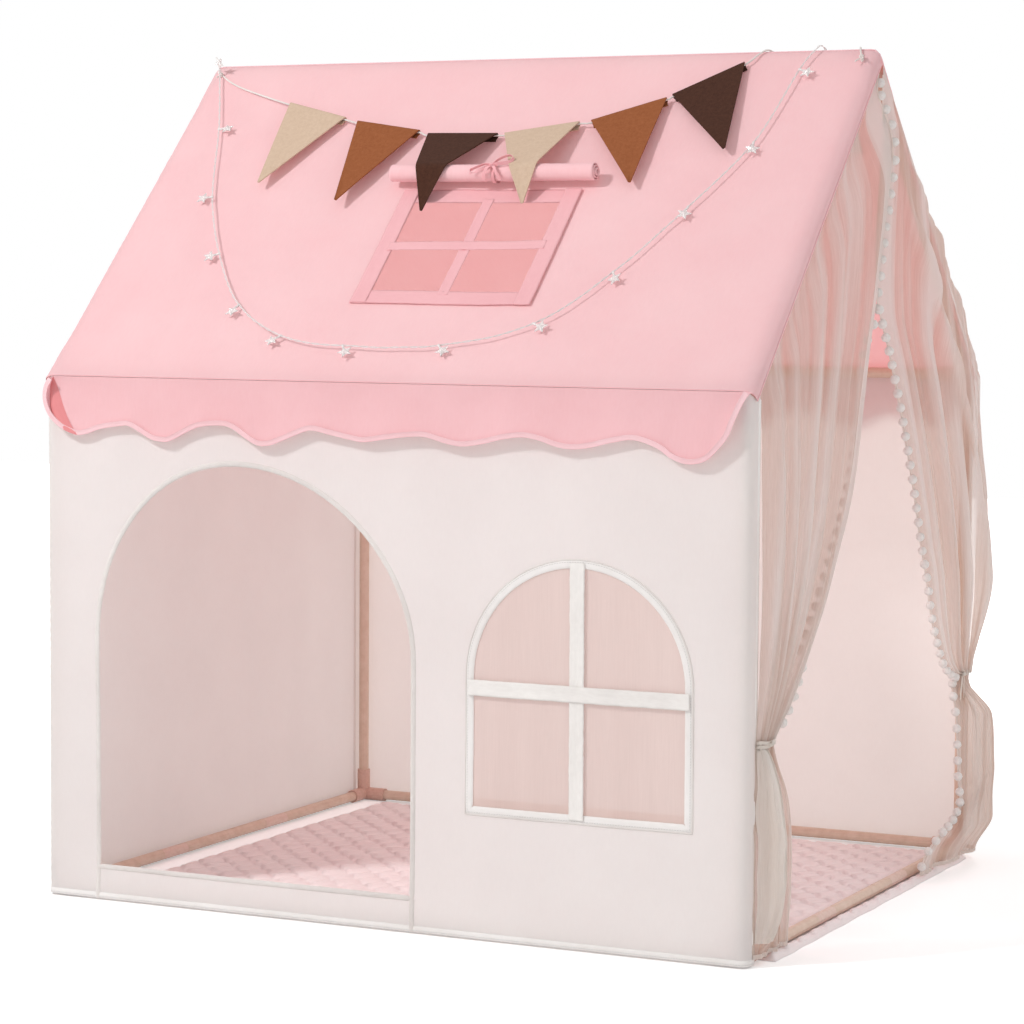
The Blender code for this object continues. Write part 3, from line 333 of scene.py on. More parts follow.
def sweep(name, material, path, outs, section, closed=False):
    """A band with a section of (across, out) points that follows a path, capped at its ends.

    outs is the outward direction, one for all points or one for each. section may be a
    function of the way along the path.
    """
    path = [Vector(p) for p in path]
    if isinstance(outs, Vector):
        outs = [outs] * len(path)
    verts, ways, way = [], [], 0.0
    for i, (point, ahead, out) in enumerate(zip(path, directions(path, closed), outs)):
        if i:
            way += (point - path[i - 1]).length
        ways.append(way)
        across = ahead.cross(out).normalized()
        out = across.cross(ahead)
        shape = section(way) if callable(section) else section
        verts += [point + a * across + o * out for a, o in shape]
    size = len(shape)
    around = [0.0]
    for (a, b), (c, d) in zip(shape, [*shape[1:], shape[0]]):
        around.append(around[-1] + hypot(c - a, d - b))
    faces, uvs = [], []
    for i in range(len(path) if closed else len(path) - 1):
        j = (i + 1) % len(path)
        end = ways[i] + (path[j] - path[i]).length
        for k in range(size):
            l = (k + 1) % size
            faces.append((i * size + k, i * size + l, j * size + l, j * size + k))
            near, far = around[k], around[k + 1]
            uvs += [(near, ways[i]), (far, ways[i]), (far, end), (near, end)]
    if not closed:
        last = (len(path) - 1) * size
        faces += [tuple(range(size))[::-1], tuple(range(last, last + size))]
        uvs += [(0, 0)] * size * 2
    obj = new_mesh(name, material, verts, faces, uvs)
    obj.data.set_sharp_from_angle(angle=radians(60))
    return obj


def route(points, pace):
    """A Catmull-Rom curve through the points, with steps of about one pace between them."""
    points = [Vector(point) for point in points]
    ends = [2 * points[0] - points[1], *points, 2 * points[-1] - points[-2]]
    made = []
    for a, b, c, d in zip(ends, ends[1:], ends[2:], ends[3:]):
        steps = max(1, round((c - b).length / pace))
        for step in range(steps):
            t = step / steps
            bend = (2 * a - 5 * b + 4 * c - d) * t**2 + (3 * b - a - 3 * c + d) * t**3
            made.append((2 * b + (c - a) * t + bend) / 2)
    return [*made, points[-1]]


def from_shape(name, shape, material):
    """A new object from a finished bmesh, which it uses up."""
    mesh = bpy.data.meshes.new(name)
    shape.to_mesh(mesh)
    shape.free()
    return linked(name, mesh, material)


def reshaped(obj, change):
    """The object after a change to its mesh as a bmesh."""
    shape = bmesh.new()
    shape.from_mesh(obj.data)
    change(shape)
    shape.to_mesh(obj.data)
    shape.free()
    return obj


def joined(name, objects):
    """One object from several that share no parent."""
    meshes = [obj.data for obj in objects]
    with bpy.context.temp_override(
        active_object=objects[0], selected_objects=objects, selected_editable_objects=objects
    ):
        bpy.ops.object.join()
    for mesh in meshes[1:]:
        bpy.data.meshes.remove(mesh)
    objects[0].name = name
    return objects[0]


def length_of(path):
    return sum((b - a).length for a, b in zip(path, path[1:]))


# Materials

class Graph:
    """The node tree of a material or a world, written a node at a time."""

    def __init__(self, name, owners=bpy.data.materials):
        self.owner = owners.new(name)
        self.owner.use_nodes = True
        self.tree = self.owner.node_tree
        self.tree.nodes.clear()

    def add(self, kind, inputs=None, **settings):
        node = self.tree.nodes.new(kind)
        for key, value in settings.items():
            setattr(node, key, value)
        for key, value in (inputs or {}).items():
            if isinstance(value, bpy.types.NodeSocket):
                self.tree.links.new(value, node.inputs[key])
            else:
                node.inputs[key].default_value = value
        return node

    def out(self, kind, inputs=None, output=0, **settings):
        """An output of a new node, the first one unless another is named."""
        return self.add(kind, inputs, **settings).outputs[output]

    def place(self, kind="UV"):
        return self.out("ShaderNodeTexCoord", None, kind)

    def noise(self, vector, scale, detail=3.0, rough=0.55, stretch=None):
        if stretch:
            vector = self.out("ShaderNodeMapping", {"Vector": vector, "Scale": stretch})
        inputs = {"Vector": vector, "Scale": scale, "Detail": detail, "Roughness": rough}
        return self.out("ShaderNodeTexNoise", inputs, "Fac")

    def waves(self, vector, period, axis):
        """Even ridges of a given period in metres."""
        inputs = {"Vector": vector, "Scale": tau / 20 / period}
        return self.out("ShaderNodeTexWave", inputs, "Fac", bands_direction=axis)

    def math(self, operation, a, b=0.0, c=0.0):
        return self.out("ShaderNodeMath", {0: a, 1: b, 2: c}, operation=operation)

    def spread(self, value, low, high, new_low=0.0, new_high=1.0):
        inputs = {"Value": value, "From Min": low, "From Max": high}
        inputs |= {"To Min": new_low, "To Max": new_high}
        return self.out("ShaderNodeMapRange", inputs)

    def mix(self, share, a, b):
        inputs = {0: share, 6: a if not isinstance(a, tuple) else (*a, 1)}
        inputs[7] = b if not isinstance(b, tuple) else (*b, 1)
        return self.out("ShaderNodeMix", inputs, 2, data_type="RGBA")

    def bump(self, height, distance, strength=1.0, normal=None):
        inputs = {"Height": height, "Distance": distance, "Strength": strength}
        if normal:
            inputs["Normal"] = normal
        return self.out("ShaderNodeBump", inputs)

    def surface(self, tint, rough, normal, **more):
        """The Principled shader; more are its other inputs, their names in lower case."""
        inputs = {"Base Color": tint, "Roughness": rough, "Normal": normal}
        for key, value in more.items():
            inputs[key.replace("_", " ").title().replace("Ior", "IOR")] = value
        return self.out("ShaderNodeBsdfPrincipled", inputs)

    def over(self, share, under, shader):
        return self.out("ShaderNodeMixShader", {0: share, 1: under, 2: shader})

    def finish(self, shader, kind="ShaderNodeOutputMaterial"):
        self.add(kind, {"Surface": shader})
        return self.owner


def cloth(
    name, colour, shade, weave=0.0011, depth=0.0002, rough=0.9, through=0.0, through_colour=None,
    pucker=0.0, sheen=0.15, cover=None, stitches=None,
):
    """A woven fabric.

    through is the share of light that passes; cover makes it sheer, as (least, most) share of
    thread over bands and streaks along V and over the mesh's crest attribute, lightest where it
    is closest, so that crests get painted highlights and hollows painted shade; stitches is the place
    of a stitched line across a tape.
    """
    g = Graph(name)
    colour, shade = srgb(*colour), srgb(*shade)
    uv, place = g.place("UV"), g.place("Object")
    warp, weft = g.waves(uv, weave, "X"), g.waves(uv, weave, "Y")
    threads = g.math("MULTIPLY", warp, weft)
    slub = g.noise(uv, 260.0, 2.0, stretch=(1.0, 0.25, 1.0))
    mottle = g.noise(place, 7.0, 4.0)
    share = g.math(
        "ADD", g.spread(mottle, 0.35, 0.7, 0.0, 0.55), g.spread(slub, 0.3, 0.75, 0.0, 0.3),
    )
    share = g.math("ADD", share, g.spread(threads, 0.0, 1.0, 0.1, 0.0))
    tint = g.mix(share, colour, shade)
    if cover:
        streak = g.noise(uv, 420.0, 2.0, 0.6, stretch=(1.0, 0.035, 1.0))
        band = g.noise(uv, 11.0, 2.0, 0.5, stretch=(1.0, 0.1, 1.0))
        amount = g.math("ADD", g.math("MULTIPLY", streak, 0.16), g.math("MULTIPLY", band, 0.84))
        # The crest attribute makes the tint lighter and the thread denser on fold crests and darker
        # in hollows: painted highlight and painted shade
        crest = g.out("ShaderNodeAttribute", None, "Fac", attribute_name="crest")
        amount = g.math("MULTIPLY_ADD", crest, 0.4, g.spread(amount, 0.34, 0.66))
        amount = g.spread(amount, 0.0, 1.0)
        tint = g.mix(amount, shade, colour)
    normal = g.bump(g.math("ADD", threads, g.math("MULTIPLY", slub, 0.8)), depth, 0.6)
    if pucker:
        folds = g.noise(uv, 60.0, 3.0, 0.5, stretch=(1.0, 0.35, 1.0))
        normal = g.bump(folds, pucker, 0.7, normal)
    if stitches is not None:
        split = g.add("ShaderNodeSeparateXYZ", {0: uv}).outputs
        near = g.math("COMPARE", split[0], stitches, 0.00045)
        dash = g.math("LESS_THAN", g.math("FRACT", g.math("DIVIDE", split[1], 0.0042)), 0.72)
        thread = g.math("MULTIPLY", near, dash)
        tint = g.mix(g.math("MULTIPLY", thread, 0.4), tint, tuple(c * 0.55 for c in shade))
        normal = g.bump(g.math("SUBTRACT", 1.0, thread), 0.0004, 0.8, normal)
    shader = g.surface(
        tint, rough, normal, sheen_weight=sheen, sheen_roughness=0.5, specular_ior_level=0.25,
    )
    if through:
        lit = g.mix(0.5, srgb(*through_colour), tint) if through_colour else tint
        glow = g.out("ShaderNodeBsdfTranslucent", {"Color": lit, "Normal": normal})
        shader = g.over(through, shader, glow)
    if cover:
        clear = g.out("ShaderNodeBsdfTransparent")
        shader = g.over(g.spread(amount, 0.0, 1.0, *cover), clear, shader)
    return g.finish(shader)


def felt(name, colour, shade):
    """Pressed wool: matted fibres with a soft uneven face."""
    g = Graph(name)
    place = g.place("Object")
    fibre = g.noise(place, 900.0, 4.0, 0.65)
    mat = g.noise(place, 170.0, 4.0, 0.6)
    share = g.math("MULTIPLY_ADD", fibre, 0.6, g.math("MULTIPLY", mat, 0.4))
    tint = g.mix(g.spread(share, 0.35, 0.65), srgb(*shade), srgb(*colour))
    normal = g.bump(mat, 0.0012, 0.5, g.bump(fibre, 0.0005, 0.7))
    return g.finish(g.surface(
        tint, 1.0, normal, sheen_weight=0.04, sheen_roughness=0.6, specular_ior_level=0.05,
    ))


def hard(name, colour, shade, rough, grain, depth, coat=0.0):
    """A painted, wooden or moulded surface with a fine grain."""
    g = Graph(name)
    place = g.place("Object")
    lines, broad = g.noise(place, grain, 4.0, 0.6), g.noise(place, 9.0, 3.0)
    share = g.math("MULTIPLY_ADD", g.spread(lines, 0.35, 0.7), 0.6, g.math("MULTIPLY", broad, 0.4))
    uneven = g.spread(lines, 0.3, 0.7, rough - 0.06, rough + 0.08)
    return g.finish(g.surface(
        g.mix(share, srgb(*colour), srgb(*shade)), uneven, g.bump(lines, depth, 0.5),
        coat_weight=coat, coat_roughness=0.25,
    ))


def fluff(name, colour, shade, through=0.3):
    """Cut yarn of a pompon, or a soft braid."""
    g = Graph(name)
    place = g.place("Object")
    yarn = g.noise(place, 700.0, 3.0, 0.7)
    tint = g.mix(g.spread(yarn, 0.35, 0.65), srgb(*shade), srgb(*colour))
    normal = g.bump(yarn, 0.0012, 0.9)
    shader = g.surface(tint, 1.0, normal, sheen_weight=0.4)
    glow = g.out("ShaderNodeBsdfTranslucent", {"Color": tint, "Normal": normal})
    return g.finish(g.over(through, shader, glow))


def clear_plastic(name, colour, shade, rough, clarity):
    g = Graph(name)
    place = g.place("Object")
    flow = g.noise(place, 220.0, 2.0)
    return g.finish(g.surface(
        g.mix(flow, srgb(*colour), srgb(*shade)), g.spread(flow, 0.3, 0.7, rough, rough + 0.12),
        g.bump(flow, 0.0003, 0.5), ior=1.46, transmission_weight=clarity,
    ))


ROOF = (251, 213, 216)
ROOF_SHADE = (248, 203, 207)
ROOF_GLOW = (250, 176, 174)
WALL = (244, 243, 242)
WALL_SHADE = (239, 237, 236)
WHITE = (246, 242, 240)
WHITE_SHADE = (232, 226, 222)

ROOF_CLOTH = cloth(
    "roof_canvas", ROOF, ROOF_SHADE, through=0.22, through_colour=ROOF_GLOW, pucker=0.0009,
)
REAR_CLOTH = cloth(
    "roof_canvas_rear", ROOF, ROOF_SHADE, through=0.42, through_colour=(245, 128, 120), pucker=0.0009,
)
VALANCE_CLOTH = cloth("valance_canvas", (251, 205, 209), (246, 194, 198), through=0.2, pucker=0.0008)
# The folded corner's cloth is the valance's pink made deeper: painted shade on a corner that lies in
# shade
FOLD_PAINTED_SHADE_CLOTH = cloth("valance_fold_in_painted_shade", (245, 165, 166), (238, 150, 152), through=0.2, pucker=0.0008)
ROOF_TAPE = cloth(
    "roof_tape", (249, 205, 209), (243, 192, 197), weave=0.0009, stitches=0.003, pucker=0.0006,
)
ROOF_EDGE = cloth(
    "roof_edging", (252, 212, 216), (244, 196, 200), weave=0.0008, pucker=0.0006, stitches=0.0065,
)
SKYLIGHT_TAPE = cloth("skylight_tape", (243, 187, 191), (236, 174, 179), weave=0.0008, pucker=0.0007)
COVER_CLOTH = cloth("skylight_cover_canvas", (250, 204, 207), (243, 188, 192), pucker=0.0008)
PINK_RIBBON = cloth(
    "pink_ribbon", (247, 186, 190), (232, 158, 164), weave=0.0006, rough=0.55, sheen=0.3,
)
WALL_CLOTH = cloth(
    "wall_canvas", WALL, WALL_SHADE, through=0.3, through_colour=(251, 232, 222), pucker=0.0007,
)
GABLE_CLOTH = cloth(
    "wall_canvas_gable", WALL, WALL_SHADE, through=0.15, through_colour=(250, 220, 206),
    pucker=0.0007,
)
REAR_WALL_CLOTH = cloth(
    "wall_canvas_rear", WALL, WALL_SHADE, through=0.36, through_colour=(249, 218, 206), pucker=0.0007,
)
WALL_TAPE = cloth("wall_tape", WHITE, WHITE_SHADE, weave=0.0008, pucker=0.0007, stitches=0.0035)
WALL_BINDING = cloth("wall_binding", (236, 230, 226), (214, 206, 202), weave=0.0007, pucker=0.0006)
CRINKLE_TAPE = cloth(
    "window_ribbon", (248, 244, 240), (230, 224, 220), weave=0.0007, pucker=0.0012, rough=0.7,
)
NET_CLOTH = cloth(
    "window_net", (236, 218, 212), (230, 210, 204), weave=0.0016, cover=(0.74, 0.84), sheen=0.1,
    through=0.25,
)
TULLE = cloth(
    "tulle", (236, 229, 224), (212, 184, 168), weave=0.0012, rough=0.75, cover=(0.58, 0.93),
    through=0.38, sheen=0.2,
)
TULLE_HEM = cloth(
    "tulle_hem", (246, 236, 230), (236, 222, 214), weave=0.001, rough=0.75, through=0.35, sheen=0.3,
)
# The satin's bands, from its darker second colour to its near-white first one, are painted highlights
SATIN_WITH_PAINTED_HIGHLIGHTS = cloth(
    "tulle_satin_painted_highlights", (254, 251, 247), (231, 220, 210), weave=0.001, cover=(0.92, 1.0), rough=0.34,
    through=0.3, sheen=0.3, pucker=0.004,
)
QUILT = cloth("quilted_cotton", (253, 245, 245), (250, 235, 235), weave=0.0009, pucker=0.0009)
RIBBON_PALE = cloth(
    "pale_ribbon", (244, 236, 228), (224, 212, 202), weave=0.0007, rough=0.6, through=0.25, sheen=0.2,
)
POM = fluff("pompon_yarn", (255, 254, 252), (246, 240, 237))
CORD_YARN = cloth(
    "twisted_cord", (246, 240, 236), (222, 212, 206), weave=0.0018, depth=0.0004, rough=0.8,
)
FELTS = {
    name: felt(name, colour, shade)
    for name, colour, shade in (
        ("felt_beige", (216, 191, 169), (199, 172, 148)),
        ("felt_tan", (162, 98, 62), (139, 79, 46)),
        ("felt_dark", (83, 52, 40), (63, 38, 29)),
    )
}
WIRE = clear_plastic("clear_wire", (246, 240, 238), (214, 206, 204), 0.3, 0.1)
STAR = clear_plastic("clear_star", (253, 250, 248), (246, 240, 238), 0.12, 0.35)
WOOD = hard("beech_tube", (228, 204, 187), (214, 186, 166), 0.5, 60.0, 0.0002, 0.15)
SLEEVE = hard("moulded_sleeve", (232, 206, 194), (222, 190, 176), 0.42, 180.0, 0.00008, 0.1)
CONNECTOR = hard("moulded_connector", (222, 186, 172), (206, 166, 150), 0.42, 160.0, 0.0001, 0.1)
BOX_PLASTIC = hard("box_plastic", (240, 236, 232), (226, 220, 216), 0.38, 240.0, 0.00006, 0.2)
SWITCH_PLASTIC = hard("switch_plastic", (206, 200, 196), (190, 182, 178), 0.4, 240.0, 0.00006)


# Camera, from a fit to the frame's corners in the photograph

CAMERA_PLACE = Vector((2.2049, -4.6396, 0.9879))
CAMERA_YAW, CAMERA_PITCH, CAMERA_ROLL = radians(-25.733), radians(4.306), radians(0.364)
FOCAL_SHARE = 3118.5 / 1024


def camera():
    ahead = Vector((
        sin(CAMERA_YAW) * cos(CAMERA_PITCH), cos(CAMERA_YAW) * cos(CAMERA_PITCH), -sin(CAMERA_PITCH),
    ))
    right = ahead.cross(Vector((0, 0, 1))).normalized()
    up = right.cross(ahead)
    level_right = right * cos(CAMERA_ROLL) + up * sin(CAMERA_ROLL)
    level_up = up * cos(CAMERA_ROLL) - right * sin(CAMERA_ROLL)
    data = bpy.data.cameras.new("camera")
    data.sensor_fit = "HORIZONTAL"
    data.sensor_width = 36
    data.lens = FOCAL_SHARE * data.sensor_width
    obj = linked("camera", data)
    turn = Matrix((level_right, level_up, -ahead)).transposed().to_4x4()
    obj.matrix_world = Matrix.Translation(CAMERA_PLACE) @ turn
    bpy.context.scene.camera = obj


camera()

# The bunting's cord and the wire of the star lights, over the roof

CORD_RADIUS = 0.0015
CORD_STRAIGHT = 0.003
BUNTING_LIFT = 0.006
FLAG_WIDTH = 0.124
FLAG_LENGTH = 0.178
BUNTING_START_SHARES = ((-1.0, 0.985), (-0.9, 0.93))
FLAG_SPAN_SHARES = (
    ((-0.692, 0.856), (-0.483, 0.8)),
    ((-0.44, 0.788), (-0.229, 0.7525)),
    ((-0.196, 0.7415), (0.017, 0.738)),
    ((0.046, 0.7395), (0.2424, 0.7717)),
    ((0.286, 0.777), (0.475, 0.846)),
    ((0.492, 0.857), (0.662, 0.9585)),
)
FLAG_LEAN_SHARES = (0.17, 0.1, -0.1, -0.09, -0.145, -0.3)
BUNTING_END_SHARES = (
    (0.69, 0.998), (0.705, 1.0), (0.725, 1.002), (0.8, 1.03), (0.88, 1.035), (0.94, 1.02),
    (0.958, 1.002), (0.967, 1.0), (0.975, 0.998), (0.99, 0.965),
)
STAR_SHARES = (
    (-0.985, 0.975), (-0.883, 0.773), (-0.785, 0.545), (-0.665, 0.36), (-0.52, 0.2),
    (-0.345, 0.108), (-0.145, 0.08), (0.13, 0.088), (0.37, 0.155), (0.53, 0.31), (0.665, 0.505),
    (0.775, 0.705), (0.826, 0.935),
)
STAR_TURNS = (95, 3, -168, -155, -111, -137, -55, -47, -25, -64, -97, -80, -29)
WIRE_END_SHARES = ((0.85, 0.998), (0.856, 1.0), (0.86, 1.002), (0.864, 1.06))
WIRE_LIFT = 0.0075
WIRE_WIDTH = 0.0034
STRAND_WIDTH = 0.0013
WIRE_TWIST = 0.034
BOX_LENGTH = 0.064
BOX_LIFT = 0.0093
BOX_RUN = SLOPE + 0.15
BOX_ACROSS = 0.5


def over_roof(shares, lift):
    return roof_point(shares[0] * HALF_WIDTH, shares[1] * SLOPE, lift)


def flag_places():
    """The middle of each flag's top edge on the cord, and the cord's direction there."""
    places = []
    for shares in FLAG_SPAN_SHARES:
        start, end = (over_roof(share, BUNTING_LIFT) for share in shares)
        places.append((start.lerp(end, 0.5), (end - start).normalized()))
    return places


def bunting_cord():
    points = [over_roof(shares, CORD_RADIUS + 0.0003) for shares in BUNTING_START_SHARES]
    reach = FLAG_WIDTH / 2 + CORD_STRAIGHT
    for middle, axis in flag_places():
        points += [middle + share * reach * axis for share in (-1, -0.5, 0, 0.5, 1)]
    points += [over_roof(shares, 2 * CORD_RADIUS + 0.0003) for shares in BUNTING_END_SHARES]
    path = route(points, 0.006)
    curve = bpy.data.curves.new("bunting_line", "CURVE")
    curve.dimensions = "3D"
    curve.bevel_depth = CORD_RADIUS
    curve.bevel_resolution = 3
    curve.use_fill_caps = True
    spline = curve.splines.new("POLY")
    spline.points.add(len(path) - 1)
    for point, place in zip(spline.points, path):
        point.co = (*place, 1)
    spline.use_smooth = True
    obj = put(linked("bunting_line", curve, CORD_YARN), "cord", replaces=["bunting_cord"])
    knots = [
        cord_knot("bunting_knot_left", path[2], 1.0), cord_knot("bunting_knot_right", path[-2], 1.5),
    ]
    tuple(path[0])
    length_of(path)


def cord_knot(name, place, scale):
    """A small knot of the cord with its two short ends."""
    pieces = []
    for index, (size, turn) in enumerate(((0.0032 * scale, 0.3), (0.0027 * scale, 1.9))):
        ring = turned(14, lambda a: place + Vector((
            0.4 * size * sin(2 * a), size * cos(a + turn), size * sin(a),
        )))
        out, section = Vector((1, 0, 0.2)), oval(0.0028, 0.0028, 8)
        pieces.append(sweep(f"{name}_{index}", CORD_YARN, ring, out, section, True))
    for index, way in enumerate((Vector((-0.35, -0.75, -0.1)), Vector((0.35, -0.8, 0.2)))):
        steps = (0, 0.35, 0.7, 1.0)
        path = [place + way * 0.012 * scale * t + Vector((0, 0, -0.004 * t * t)) for t in steps]
        out, section = Vector((0, -0.5, 0.8)), oval(0.0024, 0.0024, 8)
        pieces.append(sweep(f"{name}_end_{index}", CORD_YARN, path, out, section))
    return put(joined(name, pieces), "cord")


def star_route():
    places = []
    for x, run in (*STAR_SHARES, *WIRE_END_SHARES):
        x, run = x * HALF_WIDTH, run * SLOPE
        places.append(on_roof(x, run, WIRE_LIFT) if run < SLOPE else roof_point(x, run, WIRE_LIFT))
    return places


def star_wire():
    places = star_route()
    ends = [roof_point(BOX_ACROSS, BOX_RUN - back, BOX_LIFT) for back in (BOX_LENGTH / 2, 0.0003)]
    path = route([*places, *ends], 0.0022)[::-1]
    count = len(path)
    up = roof_up()
    for i, point in enumerate(path):
        stray = 0.0016 * ripple(i * 0.045, 3.3, 2) * min(1, i / 30, (count - i) / 30)
        path[i] = point + stray * up
    outs = [roof_normal(REAR) if point.y > 0 else roof_normal() for point in path]
    strands = []
    for strand in range(2):

        def section(way, strand=strand):
            turn = tau * way / WIRE_TWIST + pi * strand + 1.5 * ripple(way * 9, 0.3, 5)
            reach = (WIRE_WIDTH - STRAND_WIDTH) / 2
            middle = (reach * cos(turn), 0.6 * reach * sin(turn))
            return [(middle[0] + a, middle[1] + o) for a, o in oval(STRAND_WIDTH, STRAND_WIDTH, 8)]

        strands.append(sweep(f"wire_strand_{strand}", WIRE, path, outs, section))
    wire = joined("star_wire", strands)
    put(wire, "clear_plastic", replaces=["star_light_string"])
    stars = star_lights(places)
    tuple(path[0])
    length_of(path)
    [tuple(p) for p in (*path[::4], path[-1])]


STAR_RADIUS = 0.0125
STAR_WAIST = 0.0058
STAR_HEIGHT = 0.004
STAR_REACH = 0.016
FIRST_STAR_WAY = (0.1, -0.3, 0.95)
# A star's holder: ways along it and its widths there
HOLDER_STEPS = (0, 0.0015, 0.004, 0.0075, 0.0105)
HOLDER_SIZES = (0.0026, 0.0042, 0.0042, 0.0034, 0.0024)


def star_lights(places):
    """Clear faceted stars, each in a small holder on the wire."""
    shades, holders = [], []
    for index, turn in enumerate(STAR_TURNS):
        way = cos(radians(turn)) * Vector((1, 0, 0)) + sin(radians(turn)) * roof_up()
        if index == 0:
            way = Vector(FIRST_STAR_WAY).normalized()
        lean = 0.5 * ripple(index * 2.3, 1.1, 4)
        normal = (roof_normal() + lean * way.cross(roof_normal())).normalized()
        across = way.cross(normal).normalized()
        normal = across.cross(way).normalized()
        centre = places[index] + way * STAR_REACH + roof_normal() * 0.001
        shades.append(star_shade(index, centre, way, across, normal))
        start = places[index] - way * 0.002
        path = [start + way * step for step in HOLDER_STEPS]
        sections = iter([oval(size, size, 8) for size in HOLDER_SIZES])
        holders.append(sweep(
            f"holder_{index}", WIRE, path, normal, lambda way, rest=sections: next(rest),
        ))
    shade = put(joined("star_shades", shades), "clear_plastic")
    holder = put(joined("star_holders", holders), "clear_plastic")
    return [shade, holder]


def star_shade(index, centre, way, across, normal):
    """A five-pointed star with a raised middle on both faces."""
    shape = bmesh.new()
    reach = iter((STAR_RADIUS, STAR_WAIST) * 5)
    rim = turned(10, lambda a: centre + next(reach) * (cos(a) * way * -1 + sin(a) * across))
    tops = [[shape.verts.new(p + side * 0.0006 * normal) for p in rim] for side in (1, -1)]
    for ring, side in zip(tops, (1, -1)):
        peak = shape.verts.new(centre + side * STAR_HEIGHT * normal)
        for step in range(10):
            corners = (ring[step], ring[(step + 1) % 10], peak)
            shape.faces.new(corners if side > 0 else corners[::-1])
    for step in range(10):
        after = (step + 1) % 10
        shape.faces.new((tops[0][step], tops[1][step], tops[1][after], tops[0][after]))
    bmesh.ops.recalc_face_normals(shape, faces=shape.faces)
    bmesh.ops.bevel(
        shape, geom=list(shape.edges), offset=0.0003, segments=1, affect="EDGES", clamp_overlap=True,
    )
    return from_shape(f"star_{index}", shape, STAR)


bunting_cord()
star_wire()


# Studio

FLOOR_REACH = 9.0
FLOOR_GREY = 0.93
# The floor glows by this share up to the nearer distance and fully past the farther one
FLOOR_GLOW = 0.3
GLOW_NEAR, GLOW_FAR = 1.3, 3.0
WORLD_LEVEL = 0.6
# (name, place, point aimed at, size, power)
LAMPS = (
    ("key", (-2.49, -3.60, 4.02), (0, 0, 0.7), 0.65, 134),
    ("back", (0.9, 5.0, 4.2), (0, 0, 0.7), 2.0, 80),
    ("side", (4.4, -1.6, 1.3), (0.6, 0, 0.5), 2.0, 22),
    ("inner", (0.24, -0.05, 0.52), (0.48, 0.26, 0.0), 0.4, 0.4),
)


def seen_directly(g):
    """1 where the camera looks, also in a mirror or through clear plastic, and 0 elsewhere."""
    ray = g.add("ShaderNodeLightPath").outputs
    mirrored = g.math("MAXIMUM", ray["Is Glossy Ray"], ray["Is Transmission Ray"])
    return g.math("MAXIMUM", ray["Is Camera Ray"], mirrored)


def studio():
    """A matt floor that glows white further out, a white world and the lamps."""
    mesh = bpy.data.meshes.new("floor")
    corners = [(x * FLOOR_REACH, y * FLOOR_REACH, 0) for x, y in ((-1, -1), (1, -1), (1, 1), (-1, 1))]
    mesh.from_pydata(corners, [], [(0, 1, 2, 3)])
    g = Graph("floor")
    matt = g.out("ShaderNodeBsdfDiffuse", {"Color": (*[FLOOR_GREY] * 3, 1)})
    place = {0: g.place("Object")}
    away = g.out("ShaderNodeVectorMath", place, "Value", operation="LENGTH")
    share = g.spread(away, GLOW_NEAR, GLOW_FAR, FLOOR_GLOW, 1.0)
    glow = g.math("MULTIPLY", seen_directly(g), share)
    glow = g.out("ShaderNodeEmission", {"Strength": glow})
    both = g.out("ShaderNodeAddShader", {0: matt, 1: glow})
    linked("floor", mesh, g.finish(both))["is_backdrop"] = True

    g = Graph("studio", bpy.data.worlds)
    level = g.spread(seen_directly(g), 0.0, 1.0, WORLD_LEVEL, 1.0)
    sky = g.out("ShaderNodeBackground", {"Color": (1, 1, 1, 1), "Strength": level})
    bpy.context.scene.world = g.finish(sky, "ShaderNodeOutputWorld")

    for name, place, aim, size, power in LAMPS:
        lamp = bpy.data.lights.new(name, "AREA")
        lamp.shape, lamp.size, lamp.energy = "DISK", size, power
        obj = linked(name, lamp)
        obj.location = place
        obj.rotation_euler = (Vector(aim) - Vector(place)).to_track_quat("-Z", "Y").to_euler()
        obj.visible_camera = False
    bpy.context.scene.view_settings.view_transform = "Standard"


studio()


# Walls

WALL_WAY = HALF_WIDTH + CORNER_ARC + WRAP_LENGTH
WALL_SHOULDER = WALL_TOP - CORNER_NOTCH
SIDES = (("left", -1), ("right", 1))
DOOR = dict(width=0.557, centre=-0.223, sill=0.055, spring=0.411, top=0.698, lean=-0.026)
WINDOW = dict(width=0.345, centre=0.328, sill=0.2, spring=0.395, top=0.5675)
WINDOW_BAR = 0.024
WINDOW_BAR_HEIGHT = 0.38
HEM_MIDDLE = HEM_HEIGHT + 0.0045
STITCH_INSET = 0.0015
# How far apart a cloth's points are, and those of a cloth that is seen less
FINE_GRID = 0.0085
PLAIN_GRID = 0.011
NET_GRID = 0.009
BAND_PACE = 0.008
TAPE_PACE = 0.0022
TAPE_LIFT = 0.0016
TAPE_THICKNESS = 0.0009


def arch(extra, width, centre, sill, spring, top, lean=0.0):
    """An opening's outline, grown by extra: upright sides and a half-ellipse that may lean."""
    half, steps = width / 2 + extra, 44
    points = [(centre - half, sill - extra), (centre + half, sill - extra)]
    for angle in (pi * step / steps for step in range(steps + 1)):
        x = centre + half * cos(angle) + lean * sin(angle) ** 2
        points.append((x, spring + (top + extra - spring) * sin(angle)))
    return points


def wall_outline():
    """The wall's flat shape, its top cut lower round the corners to pass below the roof."""
    right = [
        (WALL_WAY, HEM_HEIGHT), (WALL_WAY, WALL_SHOULDER + WRAP_LENGTH),
        (HALF_WIDTH + CORNER_ARC, WALL_SHOULDER), (HALF_WIDTH, WALL_TOP),
    ]
    return [*right, *((-s, z) for s, z in right[::-1])]


def wall_band(name, material, flat, section, side=FRONT, closed=False):
    """A band that follows flat points over a long wall."""
    flat = resampled(flat, BAND_PACE, closed)
    path = [on_wall(s, z, 0.0, side) for s, z in flat]
    outs = [wall_point(s, z, 1.0, side) - wall_point(s, z, 0.0, side) for s, z in flat]
    return sweep(name, material, path, outs, section, closed)


